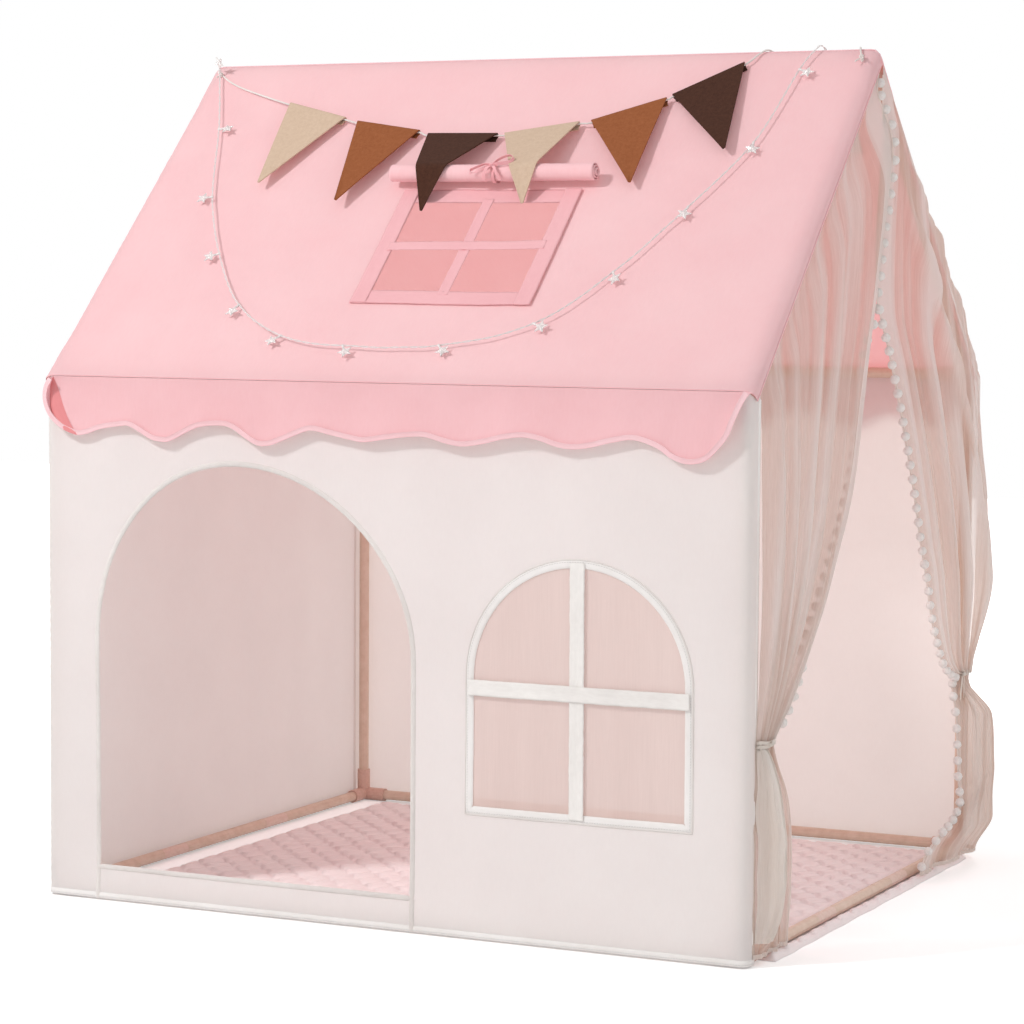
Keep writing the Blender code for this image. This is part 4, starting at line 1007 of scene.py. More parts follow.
def strip(name, material, flat, width, place, pleat):
    """A thin tape along a flat path, crinkled across, its middle stitched down."""
    flat = [Vector(point) for point in resampled(flat, TAPE_PACE, False)]
    ahead = directions([point.to_3d() for point in flat], False)
    rows = len(flat) - 1

    def at(u, v):
        row = round(v * rows)
        across = (u - 0.5) * width * (1 + 0.05 * ripple(row * 0.09, u * 2, 31))
        spot = flat[row] + Vector((ahead[row].y, -ahead[row].x)) * across
        raised = pleat * (0.5 + 0.5 * ripple(row * 0.35, u * 2.4, 33)) * abs(2 * u - 1) ** 0.7
        return place(spot.x, spot.y, TAPE_LIFT + raised)

    tape = grid_sheet(name, material, 8, rows, at, (width, length_of(flat)))
    return thickened(tape, TAPE_THICKNESS)


def thickened(obj, thickness):
    """The sheet with a real thickness about its middle, applied."""
    solid = obj.modifiers.new("thickness", "SOLIDIFY")
    solid.thickness, solid.offset = thickness, 0
    solid.use_even_offset = False
    bpy.context.view_layer.update()
    graph = bpy.context.evaluated_depsgraph_get()
    mesh = bpy.data.meshes.new_from_object(obj.evaluated_get(graph))
    obj.modifiers.clear()
    old, name = obj.data, obj.data.name
    obj.data = mesh
    bpy.data.meshes.remove(old)
    mesh.name = name
    return obj


def long_wall(label, side, look, spacing, openings=(), bindings=()):
    """A long wall with its hem, the seams up its ends and the bindings of its openings."""
    name, flat = f"{label}_wall", (2 * WALL_WAY, WALL_TOP - HEM_HEIGHT)
    holes = [arch(0, **opening) for opening in openings]
    wall = panel(
        f"{name}_cloth", look, wall_outline(), lambda s, z: on_wall(s, z, 0.0, side), spacing, holes,
    )
    put(wall, "wall_cloth", replaces=[name])
    ends = [(-WALL_WAY, HEM_MIDDLE), (WALL_WAY, HEM_MIDDLE)]
    pieces = [*bindings, wall_band(f"{label}_hem", WALL_TAPE, ends, HEM_BAND, side)]
    for end, sign in SIDES:
        way = sign * (WALL_WAY - STITCH_INSET)
        seam = [(way, HEM_HEIGHT + 0.002), (way, WALL_SHOULDER)]
        pieces.append(wall_band(f"{name}_seam_{end}", WALL_TAPE, seam, oval(0.008, 0.003), side))
    [put(piece, "binding") for piece in pieces]


def door_bindings():
    """The doorway's binding and the two strips down its sill."""
    outline = arch(STITCH_INSET, **DOOR)
    pieces = [wall_band("door_binding", WALL_BINDING, outline, oval(0.0085, 0.0036), closed=True)]
    for end, sign in SIDES:
        x = DOOR["centre"] + sign * (DOOR["width"] / 2 + STITCH_INSET)
        line = [(x, DOOR["sill"] - 0.003), (x, HEM_HEIGHT + 0.001)]
        pieces.append(wall_band(f"door_strip_{end}", WALL_BINDING, line, oval(0.0085, 0.0038)))
    return pieces


def gable_point(y, z):
    """A point of the closed left gable's cloth."""
    under = RIDGE_HEIGHT - abs(y) * RISE / HALF_DEPTH - z
    hold = smooth(0.488, 0.41, abs(y)) * smooth(0.015, 0.08, z) * smooth(0.02, 0.09, under)
    broad = 0.006 * ripple(y * 3.2, z * 2.1, 41)
    drape = 0.0026 * ripple(y * 10 + 2 * ripple(y * 3, z * 2, 42), z * 1.6, 43)
    crease = 0.0008 * ripple(y * 22 + z * 9, z * 15, 44)
    return Vector((-(HALF_WIDTH + COVER_MID) - hold * (broad + drape + crease), y, z))


def left_gable():
    edge = HALF_DEPTH - WRAP_LENGTH - 0.0004
    peak = RIDGE_HEIGHT - 0.005 / LEVEL
    shoulder = peak - edge * RISE / HALF_DEPTH
    outline = [
        (-edge, HEM_HEIGHT), (edge, HEM_HEIGHT), (edge, shoulder), (0, peak), (-edge, shoulder),
    ]
    wall = panel("left_gable_cloth", GABLE_CLOTH, outline, gable_point, PLAIN_GRID)
    put(wall, "wall_cloth", replaces=["left_gable_wall"])
    path = [gable_point(y, HEM_MIDDLE) for y in spaced(-edge, edge, 90)]
    hem = put(sweep("left_hem", WALL_TAPE, path, Vector((-1, 0, 0)), HEM_BAND), "binding")


def window():
    """The net with its binding and its two taped bars."""
    net_reach, bar_reach = 0.011, 0.006
    net = panel(
        "window_net_cloth", NET_CLOTH, arch(net_reach, **WINDOW),
        lambda s, z: on_wall(s, z, -0.0012), NET_GRID,
    )
    put(net, "net", replaces=["window_net"])
    centre, half = WINDOW["centre"], WINDOW["width"] / 2 + bar_reach
    lines = {
        "upright": [(centre, WINDOW["sill"] - bar_reach), (centre, WINDOW["top"] + bar_reach)],
        "level": [(centre - half, WINDOW_BAR_HEIGHT), (centre + half, WINDOW_BAR_HEIGHT)],
    }
    bars = [
        strip(
            f"window_bar_{label}", CRINKLE_TAPE, line, WINDOW_BAR,
            lambda s, z, lift, over=over: on_wall(s, z, lift + over), 0.0022,
        )
        for (label, line), over in zip(lines.items(), (0.0, 0.0012))
    ]
    put(bars[0], "binding", replaces=["window_trim"])
    edges = [
        wall_band(f"window_{label}", look, arch(reach, **WINDOW), section, closed=True)
        for label, look, reach, section in (
            ("binding", WALL_TAPE, 0.004, oval(0.0125, 0.0034, 12)),
            # A thin greyish piping along the binding's outer edge: a painted shadow line
            ("piping_painted_shadow", WALL_BINDING, 0.0106, oval(0.0026, 0.0036, 8)),
        )
    ]
    pieces = [bars[0], *(put(piece, "binding") for piece in (bars[1], *edges))]


HEM_BAND = oval(0.0095, 0.0026)
long_wall("front", FRONT, WALL_CLOTH, FINE_GRID, (DOOR, WINDOW), door_bindings())
long_wall("rear", REAR, REAR_WALL_CLOTH, PLAIN_GRID)
left_gable()
window()


# Roof

SKYLIGHT_CENTRE = (0.04, 0.284)
SKYLIGHT_SIZE = (0.256, 0.2)
SKYLIGHT_HEM = 0.028
SKYLIGHT_BAR = 0.018
COVER_ROLL_RISE = 0.43
COVER_ROLL_WIDTH = 0.352
COVER_ROLL_RADIUS = 0.0155
COVER_ROLL_TURNS = 3.2
COVER_ROLL_PITCH = 0.0038
COVER_ROLL_LIFT = 0.0003
BOW_PLACE = 0.006
CLOTH = 0.0015
ROOF_WAY = ROOF_BEND + ROOF_ROUND + ROOF_DROP
ROOF_TOP = SLOPE + COVER_MID * atan2(RISE, HALF_DEPTH) - 0.0002


def skylight_opening():
    (x, y), (w, h) = SKYLIGHT_CENTRE, (SKYLIGHT_SIZE[0] / 2, SKYLIGHT_SIZE[1] / 2)
    return [(x - w, y - h), (x + w, y - h), (x + w, y + h), (x - w, y + h)]


def roof_slope(label, side, look, holes=()):
    """A slope of the roof with the edging of its sides and the seam along its lip."""
    name, arc = f"roof_{label}_cloth", ROOF_BEND + ROOF_ROUND * 0.94
    outline = [
        (-ROOF_WAY, -ROOF_LIP), (ROOF_WAY, -ROOF_LIP), (ROOF_WAY, SLOPE), (arc, SLOPE),
        (arc, ROOF_TOP), (-arc, ROOF_TOP), (-arc, SLOPE), (-ROOF_WAY, SLOPE),
    ]
    slope = panel(name, look, outline, lambda s, run: roof_cloth(s, run, side), FINE_GRID, holes)
    reshaped(slope, lambda shape: bmesh.ops.remove_doubles(shape, verts=shape.verts, dist=0.00002))
    put(slope, "roof_cloth", replaces=[f"roof_{label}"])
    pieces = []
    for end, sign in SIDES:
        runs = spaced(-ROOF_LIP, SLOPE - 0.018, 110)
        path = [roof_cloth(sign * (ROOF_WAY - STITCH_INSET), run, side) for run in runs]
        pieces.append(sweep(
            f"{name}_edge_{end}", VALANCE_CLOTH, path, Vector((sign, 0, 0)), oval(0.0036, 0.0022),
        ))
    ways = spaced(-ROOF_WAY + 0.004, ROOF_WAY - 0.004, 200)
    lip = [roof_cloth(s, -ROOF_LIP + 0.001, side) for s in ways]
    outs = [roof_cloth(s, -ROOF_LIP, side, 0.001) - roof_cloth(s, -ROOF_LIP, side) for s in ways]
    outs = [out.normalized() for out in outs]
    pieces.append(sweep(f"{name}_seam", VALANCE_CLOTH, lip, outs, oval(0.0024, 0.0016, 8)))
    [put(piece, "roof_cloth") for piece in pieces]


def ridge_seam():
    half = HALF_WIDTH + COVER_MID - 0.001
    path = []
    for x in spaced(-half, half, 160):
        past = max(0.0, abs(x) - HALF_WIDTH)
        z = RIDGE_HEIGHT + sqrt(max(0.0, COVER_MID**2 - past**2))
        path.append(Vector((x, 0.0006 * ripple(x * 12, 0, 51), z)))
    put(sweep("ridge_seam", ROOF_TAPE, path, Vector((0, 0, 1)), oval(0.006, 0.003)), "roof_cloth")


def skylight():
    """The hems and the bars of the skylight, each laid over the one before."""
    (cx, cy), (w, h) = SKYLIGHT_CENTRE, (SKYLIGHT_SIZE[0] / 2, SKYLIGHT_SIZE[1] / 2)
    hem = SKYLIGHT_HEM
    half = hem / 2 - 0.001
    hems = (
        ("top", 0.0, (cx - w - hem + 0.002, cy + h + half), (cx + w + hem - 0.002, cy + h + half)),
        ("foot", 0.0006, (cx - w - hem, cy - h - half), (cx + w + hem * 0.6, cy - h - half)),
        ("left", 0.0012, (cx - w - half, cy - h - hem * 0.9), (cx - w - half, cy + h + hem)),
        ("right", 0.0018, (cx + w + half, cy + h + hem), (cx + w + half - 0.002, cy - h - hem)),
    )
    bars = (
        ("upright", 0.0, (cx + 0.002, cy + h + 0.006), (cx - 0.003, cy - h - 0.006)),
        ("level", 0.0012, (cx - w - 0.006, cy - 0.002), (cx + w + 0.006, cy + 0.003)),
    )
    for kind, lines, width, sunk, pleat in (
        ("hem", hems, hem, 0.0008, 0.0009), ("bar", bars, SKYLIGHT_BAR, 0.0, 0.0012),
    ):
        for label, over, *line in lines:
            tape = strip(
                f"skylight_{kind}_{label}", SKYLIGHT_TAPE, line, width,
                lambda x, y, up: on_roof(x, y, up + over - sunk), pleat,
            )
            put(tape, "skylight_hem", replaces=["skylight_trim"] if label == "top" else ())


def cover_roll():
    """The skylight's cover, rolled up above it in uneven turns."""
    # Its axis frame: X along the ridge, Y up the slope, Z off the cloth
    lift = COVER_ROLL_RADIUS + CLOTH / 2 + COVER_ROLL_LIFT
    basis = Matrix((Vector((1, 0, 0)), roof_up(), roof_normal())).transposed().to_4x4()
    matrix = Matrix.Translation(roof_point(SKYLIGHT_CENTRE[0], COVER_ROLL_RISE, lift)) @ basis
    turns, pitch = COVER_ROLL_TURNS, COVER_ROLL_PITCH

    def place(u, v):
        x = (u - 0.5) * COVER_ROLL_WIDTH
        turn = v * turns
        loose = 1 + 0.06 * ripple(x * 14, turn * 1.3, 61) * smooth(0.0, 0.5, turn)
        tied = 1 - 0.13 * max(0.0, 1 - abs(x - BOW_PLACE) / 0.03) ** 2
        radius = (COVER_ROLL_RADIUS - pitch * turn) * loose * tied
        angle = tau * turn - pi / 2
        sway = 0.0012 * ripple(x * 6, 0, 62) - 0.0010 * sin(pi * u)
        x += 0.004 * turn * (u - 0.5) + 0.0012 * ripple(turn * 2, u, 63)
        z = radius * sin(angle) + lift * (tied - 1) * 0.3
        return matrix @ Vector((x, radius * cos(angle) + sway, z))

    roll = grid_sheet("skylight_cover", COVER_CLOTH, 90, 84, place, (COVER_ROLL_WIDTH, 0.2))
    put(thickened(roll, 0.0011), "roof_cloth", replaces=["skylight_cover_roll"])
    bow(matrix)


def band(width, low, high):
    """A ribbon's section, between two levels."""
    return [(-width / 2, low), (width / 2, low), (width / 2, high), (-width / 2, high)]


def ribbon(name, points, outs, width):
    """A ribbon through points, its face turning evenly from one direction to the next."""
    path = route(points, 0.0022)
    faces = []
    for i in range(len(path)):
        share = i / (len(path) - 1) * (len(outs) - 1)
        low = min(int(share), len(outs) - 2)
        faces.append(Vector(outs[low]).lerp(Vector(outs[low + 1]), share - low).normalized())
    return sweep(name, PINK_RIBBON, path, faces, band(width, -0.00035, 0.00035))


# The bow's two loops and two ends: their points from the knot, and their faces' directions
BOW = {
    "loop_right": (
        ((0, 0, 0), (0.010, 0.008, 0.004), (0.024, 0.017, 0.004), (0.033, 0.014, 0.002),
         (0.028, 0.005, 0.001), (0.012, 0.001, 0.002), (0, 0, 0)),
        ((-0.3, 0.8, 0.5), (-0.5, 0.8, 0.2), (0.3, 0.9, 0.2), (0.9, 0, 0.3), (0.2, -0.9, 0.2),
         (0, -0.8, 0.5)),
    ),
    "loop_left": (
        ((0, 0, 0), (-0.010, -0.001, 0.003), (-0.024, -0.007, 0.002), (-0.034, -0.012, 0.0),
         (-0.030, -0.018, -0.001), (-0.014, -0.010, 0.001), (0, 0, 0)),
        ((0, 0.8, 0.5), (0.1, 0.9, 0.3), (0, 0.9, 0.2), (-0.9, 0, 0.3), (0, -0.9, 0.2),
         (0.2, -0.8, 0.5)),
    ),
    "end_right": (
        ((0, 0, 0), (0.006, -0.007, 0.001), (0.011, -0.015, -0.005), (0.017, -0.0205, -0.014)),
        ((0.3, 0.2, 1), (0, -0.5, 0.9), (0, -0.9, 0.4), (0, -1, 0.2)),
    ),
    "end_left": (
        ((0, 0, 0), (-0.006, -0.007, 0.001), (-0.011, -0.015, -0.005), (-0.011, -0.0205, -0.014)),
        ((-0.3, 0.2, 1), (0, -0.5, 0.9), (0, -0.9, 0.4), (0, -1, 0.2)),
    ),
}


def bow(matrix):
    """A thin ribbon round the roll, tied in a loose bow."""
    ring = COVER_ROLL_RADIUS * 0.93 + 0.0012
    around = turned(40, lambda a: Vector((
        BOW_PLACE + 0.0006 * sin(3 * a), ring * cos(a), ring * sin(a) - 0.0004,
    )))
    outs = [Vector((0, p.y, p.z)).normalized() for p in around]
    pieces = [sweep("bow_wrap", PINK_RIBBON, around, outs, band(0.0056, -0.0003, 0.0004), True)]
    knot = Vector((BOW_PLACE, -0.002, ring + 0.002 + 0.0012))
    for label, (points, faces) in BOW.items():
        points = [knot + Vector(point) for point in points]
        pieces.append(ribbon(f"bow_{label}", points, faces, 0.0055 if "loop" in label else 0.005))
    around = turned(16, lambda a: knot + Vector((
        0.0031 * cos(a), 0.0008 * sin(2 * a), 0.0027 * sin(a),
    )))
    section = [(-0.0026, -0.0006), (0.0026, -0.0006), (0.0022, 0.0010), (-0.0022, 0.0010)]
    outs = [(p - knot).normalized() for p in around]
    pieces.append(sweep("bow_knot", PINK_RIBBON, around, outs, section, True))
    made = joined("skylight_bow", pieces)
    made.data.transform(matrix)
    put(made, "roof_cloth", replaces=["skylight_tie_bow"])


# Valances

VALANCE_HINGE = Vector((0, -0.52731, 0.82824))
VALANCE_DEPTH = 0.09
# Heights between which a lifted valance bends
VALANCE_BEND = (0.8282, 0.816)
# The scalloped edge: (way along the seam, way of the edge, depth of the edge) at both ends,
# (way, depth) along the lobes between them
VALANCE_LOBES = (
    (-0.51, 0.088), (-0.488, 0.0805), (-0.449, 0.0746), (-0.431, 0.0757), (-0.396, 0.093),
    (-0.375, 0.0969), (-0.358, 0.0951), (-0.32, 0.0772), (-0.299, 0.0713), (-0.269, 0.0692),
    (-0.248, 0.0737), (-0.208, 0.096), (-0.184, 0.0976), (-0.161, 0.0902), (-0.121, 0.0747),
    (-0.104, 0.0728), (-0.075, 0.0785), (-0.042, 0.085), (-0.019, 0.0876), (0.02, 0.082),
    (0.06, 0.0772), (0.085, 0.0775), (0.12, 0.0862), (0.145, 0.0893), (0.179, 0.0845),
    (0.212, 0.0769), (0.245, 0.0729), (0.272, 0.0773), (0.298, 0.0854), (0.324, 0.0883),
    (0.353, 0.0847), (0.385, 0.0771), (0.42, 0.0722), (0.455, 0.0824), (0.478, 0.0969),
    (0.5, 0.1037), (0.519, 0.1031),
)
VALANCE_EDGE = (
    (-0.58, -0.58, 0.002), (-0.579, -0.5875, 0.0143), (-0.577, -0.5905, 0.032),
    (-0.573, -0.5867, 0.0489), (-0.568, -0.5777, 0.0644), (-0.558, -0.5617, 0.0785),
    (-0.545, -0.5446, 0.087), (-0.529, -0.5292, 0.091),
    *((way, way, depth) for way, depth in VALANCE_LOBES),
    (0.535, 0.5335, 0.098), (0.55, 0.5449, 0.089), (0.574, 0.5665, 0.0654),
    (0.585, 0.5785, 0.0396), (0.593, 0.5888, 0.018), (0.598, 0.598, 0.002),
)
# The left corner is folded back as far as this line of (way, depth)
FOLD_LINE = (
    (-0.580, 0.001), (-0.5735, 0.012), (-0.566, 0.028), (-0.558, 0.047), (-0.548, 0.066),
    (-0.537, 0.0815), (-0.529, 0.0905),
)


def valance_lean(x, share):
    """How far a valance stands out of its hinge's plane, more at its ends."""
    return 0.010 * share**2 + 0.004 * smooth(0.53, 0.59, abs(x)) * share


def valance_point(top, edge, depth, share, side):
    """A point between the seam (share 0) and the scalloped edge (share 1)."""
    x, drop = blend(top, edge, share), share * depth
    way = side * FRONT * x
    waves = 0.0030 * ripple(way * 9, drop * 5, 71 + side) + 0.0012 * ripple(way * 31, drop * 9, 73)
    out = valance_lean(x, share) + smooth(0.0, 0.35, share) * waves
    return Vector((way, side * (-VALANCE_HINGE.y + out), VALANCE_HINGE.z - drop))


def valance(label, side):
    """A valance with its hem and its folded corner."""
    name, body = f"valance_{label}_cloth", f"{label}_valance"
    line = route(VALANCE_EDGE, 0.0045)
    columns = len(line) - 1

    def place(u, v):
        return valance_point(*line[round(u * columns)], v, side)

    width = VALANCE_EDGE[-1][0] - VALANCE_EDGE[0][0]
    piece = grid_sheet(name, VALANCE_CLOTH, columns, 14, place, (width, VALANCE_DEPTH))
    put(piece, "roof_cloth", None, [f"valance_{label}"])
    path = [valance_point(*places, 1.0, side) + Vector((0, side * 0.0003, 0)) for places in line]
    edge = sweep(f"{name}_edge", ROOF_EDGE, path, Vector((0, side, 0)), hem_section(0.0075, 0.0014))
    put(edge, "roof_cloth", body)
    fold = valance_fold_in_painted_shade(f"{name}_fold", side)
    start, end = ((0, -side * VALANCE_HINGE.y, z) for z in VALANCE_BEND)
    for item in (piece, fold):
        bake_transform(item)
        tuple(start)
        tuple(end)


def hem_section(width, thickness):
    """A turned hem's flat section, inward of the edge that it follows."""
    t = thickness / 2
    return [
        (-width, -t), (0, -t), (0.0006, 0), (0, t), (-0.0012, 1.3 * t), (0.0012 - width, 1.3 * t),
        (0.0004 - width, 2.4 * t), (-width, 2.2 * t),
    ]


def valance_fold_in_painted_shade(name, side):
    """The corner folded back over the valance's left end, in a deeper pink that is painted shade."""
    outer = route([(edge, depth, 0) for _, edge, depth in VALANCE_EDGE[:8]], 0.003)
    inner = route([(*spot, 0) for spot in FOLD_LINE], 0.003)

    def place(u, v):
        a, b = (line[round(v * (len(line) - 1))] for line in (outer, inner))
        x, drop = blend(a.x, b.x, u), blend(a.y, b.y, u)
        out = valance_lean(x, min(1.0, drop / VALANCE_DEPTH)) + 0.0016
        out += 0.0035 * sin(pi * u) * sin(pi * v) + 0.0022 * (1 - u) * sin(pi * v)
        return Vector((side * FRONT * x, side * (-VALANCE_HINGE.y + out), VALANCE_HINGE.z - drop))

    fold = grid_sheet(name, FOLD_PAINTED_SHADE_CLOTH, 10, 30, place, (0.02, VALANCE_DEPTH))
    return put(fold, "roof_cloth", None)


roof_slope("front", FRONT, ROOF_CLOTH, [skylight_opening()])
roof_slope("rear", REAR, REAR_CLOTH)
ridge_seam()
skylight()
cover_roll()
valance("front", FRONT)
valance("rear", REAR)


# Curtains in the open gable

WAIST_HEIGHT = 0.318
WAIST_WIDTH = 0.058
TAIL_HEM_HEIGHT = 0.012
GABLE_X = HALF_WIDTH + COVER_MID
CURTAIN_OUTER = HALF_DEPTH - WRAP_LENGTH - 0.0014
CURTAIN_COLUMNS, CURTAIN_ROWS = 300, 130
# The hinge of a tail, and where its cloth has bent when it swings
TAIL_X = 0.60935
TAIL_BEND_END = 0.272
POM_RADIUS = 0.0073
POM_PACE = 0.0265
POM_REACH = 0.985
FINE_PLEATS = 23
# waist is the way of the tie's middle; seam is the top edge's place along X, its depth below
# the rafters' line and the share of the height over which the folds grow; edge and tail are
# the free edges above and below the waist, as (way to the curtain's side, height)
CURTAINS = {
    "front": dict(
        side=FRONT, seed=81, waist=0.473, folds=6, fold=0.018, billow=0.012, sweep=1.7,
        seam=(GABLE_X - 0.0007, 0.0035, 0.14), poms_from=0.012,
        edge=(
            (0.0, 1.318), (0.018, 1.275), (-0.012, 1.228), (-0.022, 1.190), (-0.012, 1.130),
            (0.012, 1.048), (0.035, 0.972), (0.066, 0.896), (0.094, 0.803), (0.124, 0.705),
            (0.158, 0.640), (0.200, 0.582), (0.250, 0.512), (0.304, 0.453), (0.340, 0.413),
            (0.380, 0.372), (0.420, 0.342), (0.444, 0.320),
        ),
        tail=(
            (0.444, 0.318), (0.428, 0.292), (0.390, 0.245), (0.372, 0.200), (0.366, 0.150),
            (0.368, 0.100), (0.374, 0.055), (0.380, 0.012),
        ),
    ),
    "rear": dict(
        side=REAR, seed=91, waist=0.450, folds=5, fold=0.019, billow=0.031, sweep=1.9,
        seam=(ROOF_SIDE + 0.0026, -0.0030, 0.05), poms_from=0.31,
        edge=(
            (0.0, 1.318), (-0.012, 1.200), (-0.040, 1.060), (-0.044, 0.972), (-0.028, 0.933),
            (0.008, 0.883), (0.038, 0.834), (0.081, 0.758), (0.122, 0.681), (0.158, 0.609),
            (0.181, 0.561), (0.214, 0.505), (0.240, 0.450), (0.270, 0.405), (0.325, 0.350),
            (0.385, 0.325), (0.421, 0.320),
        ),
        tail=(
            (0.421, 0.318), (0.385, 0.290), (0.368, 0.250), (0.364, 0.200), (0.366, 0.150),
            (0.378, 0.112), (0.340, 0.088), (0.272, 0.070), (0.228, 0.045), (0.212, 0.012),
        ),
    ),
}


def bell(away, width):
    """1 along the middle of a soft ridge, and less away from it."""
    return 2.718 ** (-((away / width) ** 2))


def along(line, share):
    """The point at a share of the way along a measured line, as (x, y)."""
    place = share * (len(line) - 1)
    low = min(int(place), len(line) - 2)
    return line[low].lerp(line[low + 1], place - low)


def even_line(points, count):
    """The line through the points, with the given number of evenly spaced points."""
    fine = route([(*point, 0) for point in points], 0.002)
    ways = [0.0]
    for a, b in zip(fine, fine[1:]):
        ways.append(ways[-1] + (b - a).length)
    shares = np.linspace(0, ways[-1], count)
    return [
        Vector((float(x), float(y)))
        for x, y in zip(*(np.interp(shares, ways, [p[i] for p in fine]) for i in (0, 1)))
    ]


for made in CURTAINS.values():
    made["edge"] = even_line(made["edge"], 240)
    made["tail"] = even_line(made["tail"], 120)


def pleats(u, t, folds, seed):
    """Uneven soft folds across a curtain: 0 to 1 at a share u of its width."""
    warp = u + 0.07 * ripple(u * 3.5, t * 0.8, seed) + 0.014 * ripple(u * 13, t * 1.6, seed + 1)
    main = 0.5 - 0.5 * cos(tau * folds * warp)
    second = 0.5 - 0.5 * cos(tau * folds * 2.6 * warp + 2 * ripple(u * 4, t, seed + 2))
    return 0.74 * main**1.3 + 0.26 * second


def curtain_point(u, t, side, shape):
    """A point of a curtain between its seam under the roof's edge and its tied waist."""
    seam_x, drop, growth = shape["seam"]
    top = Vector((CURTAIN_OUTER * (1 - u), 0))
    top.y = RIDGE_HEIGHT - drop / LEVEL - top.x * RISE / HALF_DEPTH
    low = Vector((shape["waist"] + WAIST_WIDTH * (0.5 - u), WAIST_HEIGHT))
    peak = Vector((0, RIDGE_HEIGHT - drop / LEVEL))
    straight = peak.lerp(Vector((shape["waist"] - WAIST_WIDTH / 2, WAIST_HEIGHT)), t)
    spot = top.lerp(low, t) + (along(shape["edge"], t) - straight) * u ** shape["sweep"]
    seed = shape["seed"]
    grow, gather = smooth(0.0, growth, t), smooth(0.72, 1.0, t)
    outer_ease = blend(0.3, 1.0, smooth(0.05, 0.4, u)) if side == REAR else 1.0
    depth = blend(shape["fold"] * (0.55 + 0.45 * t) * outer_ease, 0.009, gather)
    out = depth * pleats(u, t, shape["folds"], seed)
    fine = sin(tau * FINE_PLEATS * (u + 0.02 * ripple(u * 9, t * 1.2, seed + 4)))
    out += 0.0022 * (0.5 + 0.5 * fine) * (0.5 + gather)
    belly = sin(pi * min(1.0, t**1.25)) ** 0.8 * smooth(0.0, 0.16, u)
    belly *= 1 - 0.72 * smooth(0.35, 1.0, u)
    out += shape["billow"] * belly * (1 + 0.12 * ripple(u * 4, t * 3, seed + 8))
    if side == REAR:
        ridge = 0.28 + 0.75 * 2.718 ** (-t / 0.3)
        out += 0.020 * bell(u - ridge, 0.055) * smooth(0.06, 0.2, t) * (1 - gather)
        out += 0.010 * smooth(0.0, 0.06, t) * smooth(1.0, 0.6, u) * (1 - gather)
    else:
        crest = bell(u - 0.90 + 0.1 * t, 0.05)
        out += 0.016 * crest * smooth(0.04, 0.15, t) * (1 - gather)
        out += 0.012 * smooth(0.9, 1.0, u) * smooth(0.3, 0.06, t)
        out += 0.006 * 4 * t * (1 - t)
    out += 0.0008 * ripple(u * 50, t * 9, seed + 5)
    y = spot.x + grow * (1 - gather) * 0.0025 * ripple(u * 30, t * 5, seed + 7)
    return Vector((seam_x + grow * out, side * y, spot.y))


def pompons(name, path, radius, pace, outs, body="tent"):
    """A row of yarn balls along an edge."""
    shape = bmesh.new()
    way, due, index = 0.0, pace / 2, 0
    for a, b in zip(path, path[1:]):
        step = (b - a).length
        while step and way + step >= due:
            point = a.lerp(b, (due - way) / step)
            out = outs(point, (b - a).normalized())
            size = radius * (1 + 0.07 * ripple(index * 1.3, 2.2, 101))
            centre = point + out * (size * 0.85)
            made = bmesh.ops.create_icosphere(shape, subdivisions=3, radius=size)["verts"]
            for vertex in made:
                way_out = vertex.co.normalized()
                rough = 1 + 0.085 * noise.noise(way_out * 5.5 + Vector((index * 3.1, 0, 0)))
                rough += 0.05 * noise.noise(way_out * 14 + Vector((0, index * 2.3, 0)))
                vertex.co = centre + vertex.co * rough
            due += pace
            index += 1
        way += step
    piece = from_shape(name, shape, POM)
    piece.data.shade_smooth()
    return put(piece, "tulle", body)


def square_to(ahead, way):
    """The direction nearest to a way that stands square to a path's."""
    return (way - way.dot(ahead) * ahead).normalized()


def mark_crests_for_painted_light(piece, columns, reach, rise, hem):
    """Writes how far each point of a gathered sheet stands out from the cloth beside it, which the
    material turns into painted highlights on crests and painted shade in hollows.

    The last share of the columns is the doubled hem, thicker all along.
    """
    out = np.empty(len(piece.data.vertices) * 3)
    piece.data.vertices.foreach_get("co", out)
    out = out.reshape(-1, columns + 1, 3)[:, :, 0]
    total = np.cumsum(np.pad(out, ((0, 0), (reach + 1, reach)), mode="edge"), axis=1)
    window = 2 * reach + 1
    mean = (total[:, window:] - total[:, :-window]) / window
    crest = np.clip((out - mean) / rise, -1, 1)
    crest[:, round(columns * (1 - hem)):] += 1.2
    marks = piece.data.attributes.new("crest", "FLOAT", "POINT")
    marks.data.foreach_set("value", crest.astype(np.float32).ravel())


def braid(name, edge, body="tent"):
    """The narrow braid along a curtain's free edge."""
    made = sweep(f"{name}_braid", TULLE_HEM, edge, Vector((1, 0, 0)), oval(0.005, 0.0022, 8))
    return put(made, "tulle", body)


def curtain(label):
    """A curtain from the roof's edge to its tie, with its braid, pompons and ribbon."""
    shape = CURTAINS[label]
    side, name = shape["side"], f"curtain_{label}_tulle"

    def at(u, t):
        return curtain_point(u, t, side, shape)

    piece = grid_sheet(name, TULLE, CURTAIN_COLUMNS, CURTAIN_ROWS, at, (1.1, 1.05))
    mark_crests_for_painted_light(piece, CURTAIN_COLUMNS, 24, 0.008, 0.1)
    put(piece, "tulle", replaces=[f"curtain_{label}"])

    def outs(point, ahead):
        behind = smooth(0.93, 0.86, point.z) * smooth(0.40, 0.46, point.z) if side == FRONT else 0.0
        open_way, hidden_way = Vector((0.35, -side, 0.0)), Vector((-0.9, 0.55 * side, 0.0))
        return square_to(ahead, open_way.lerp(hidden_way, behind))

    edging = braid(name, [at(1.0, t) for t in spaced(0.012, POM_REACH, 150)])
    pom_line = [at(1.0, t) for t in spaced(shape["poms_from"], POM_REACH, 150)]
    poms = pompons(f"{name}_poms", pom_line, POM_RADIUS, POM_PACE, outs)
    waist_tie(label, side, shape["waist"])


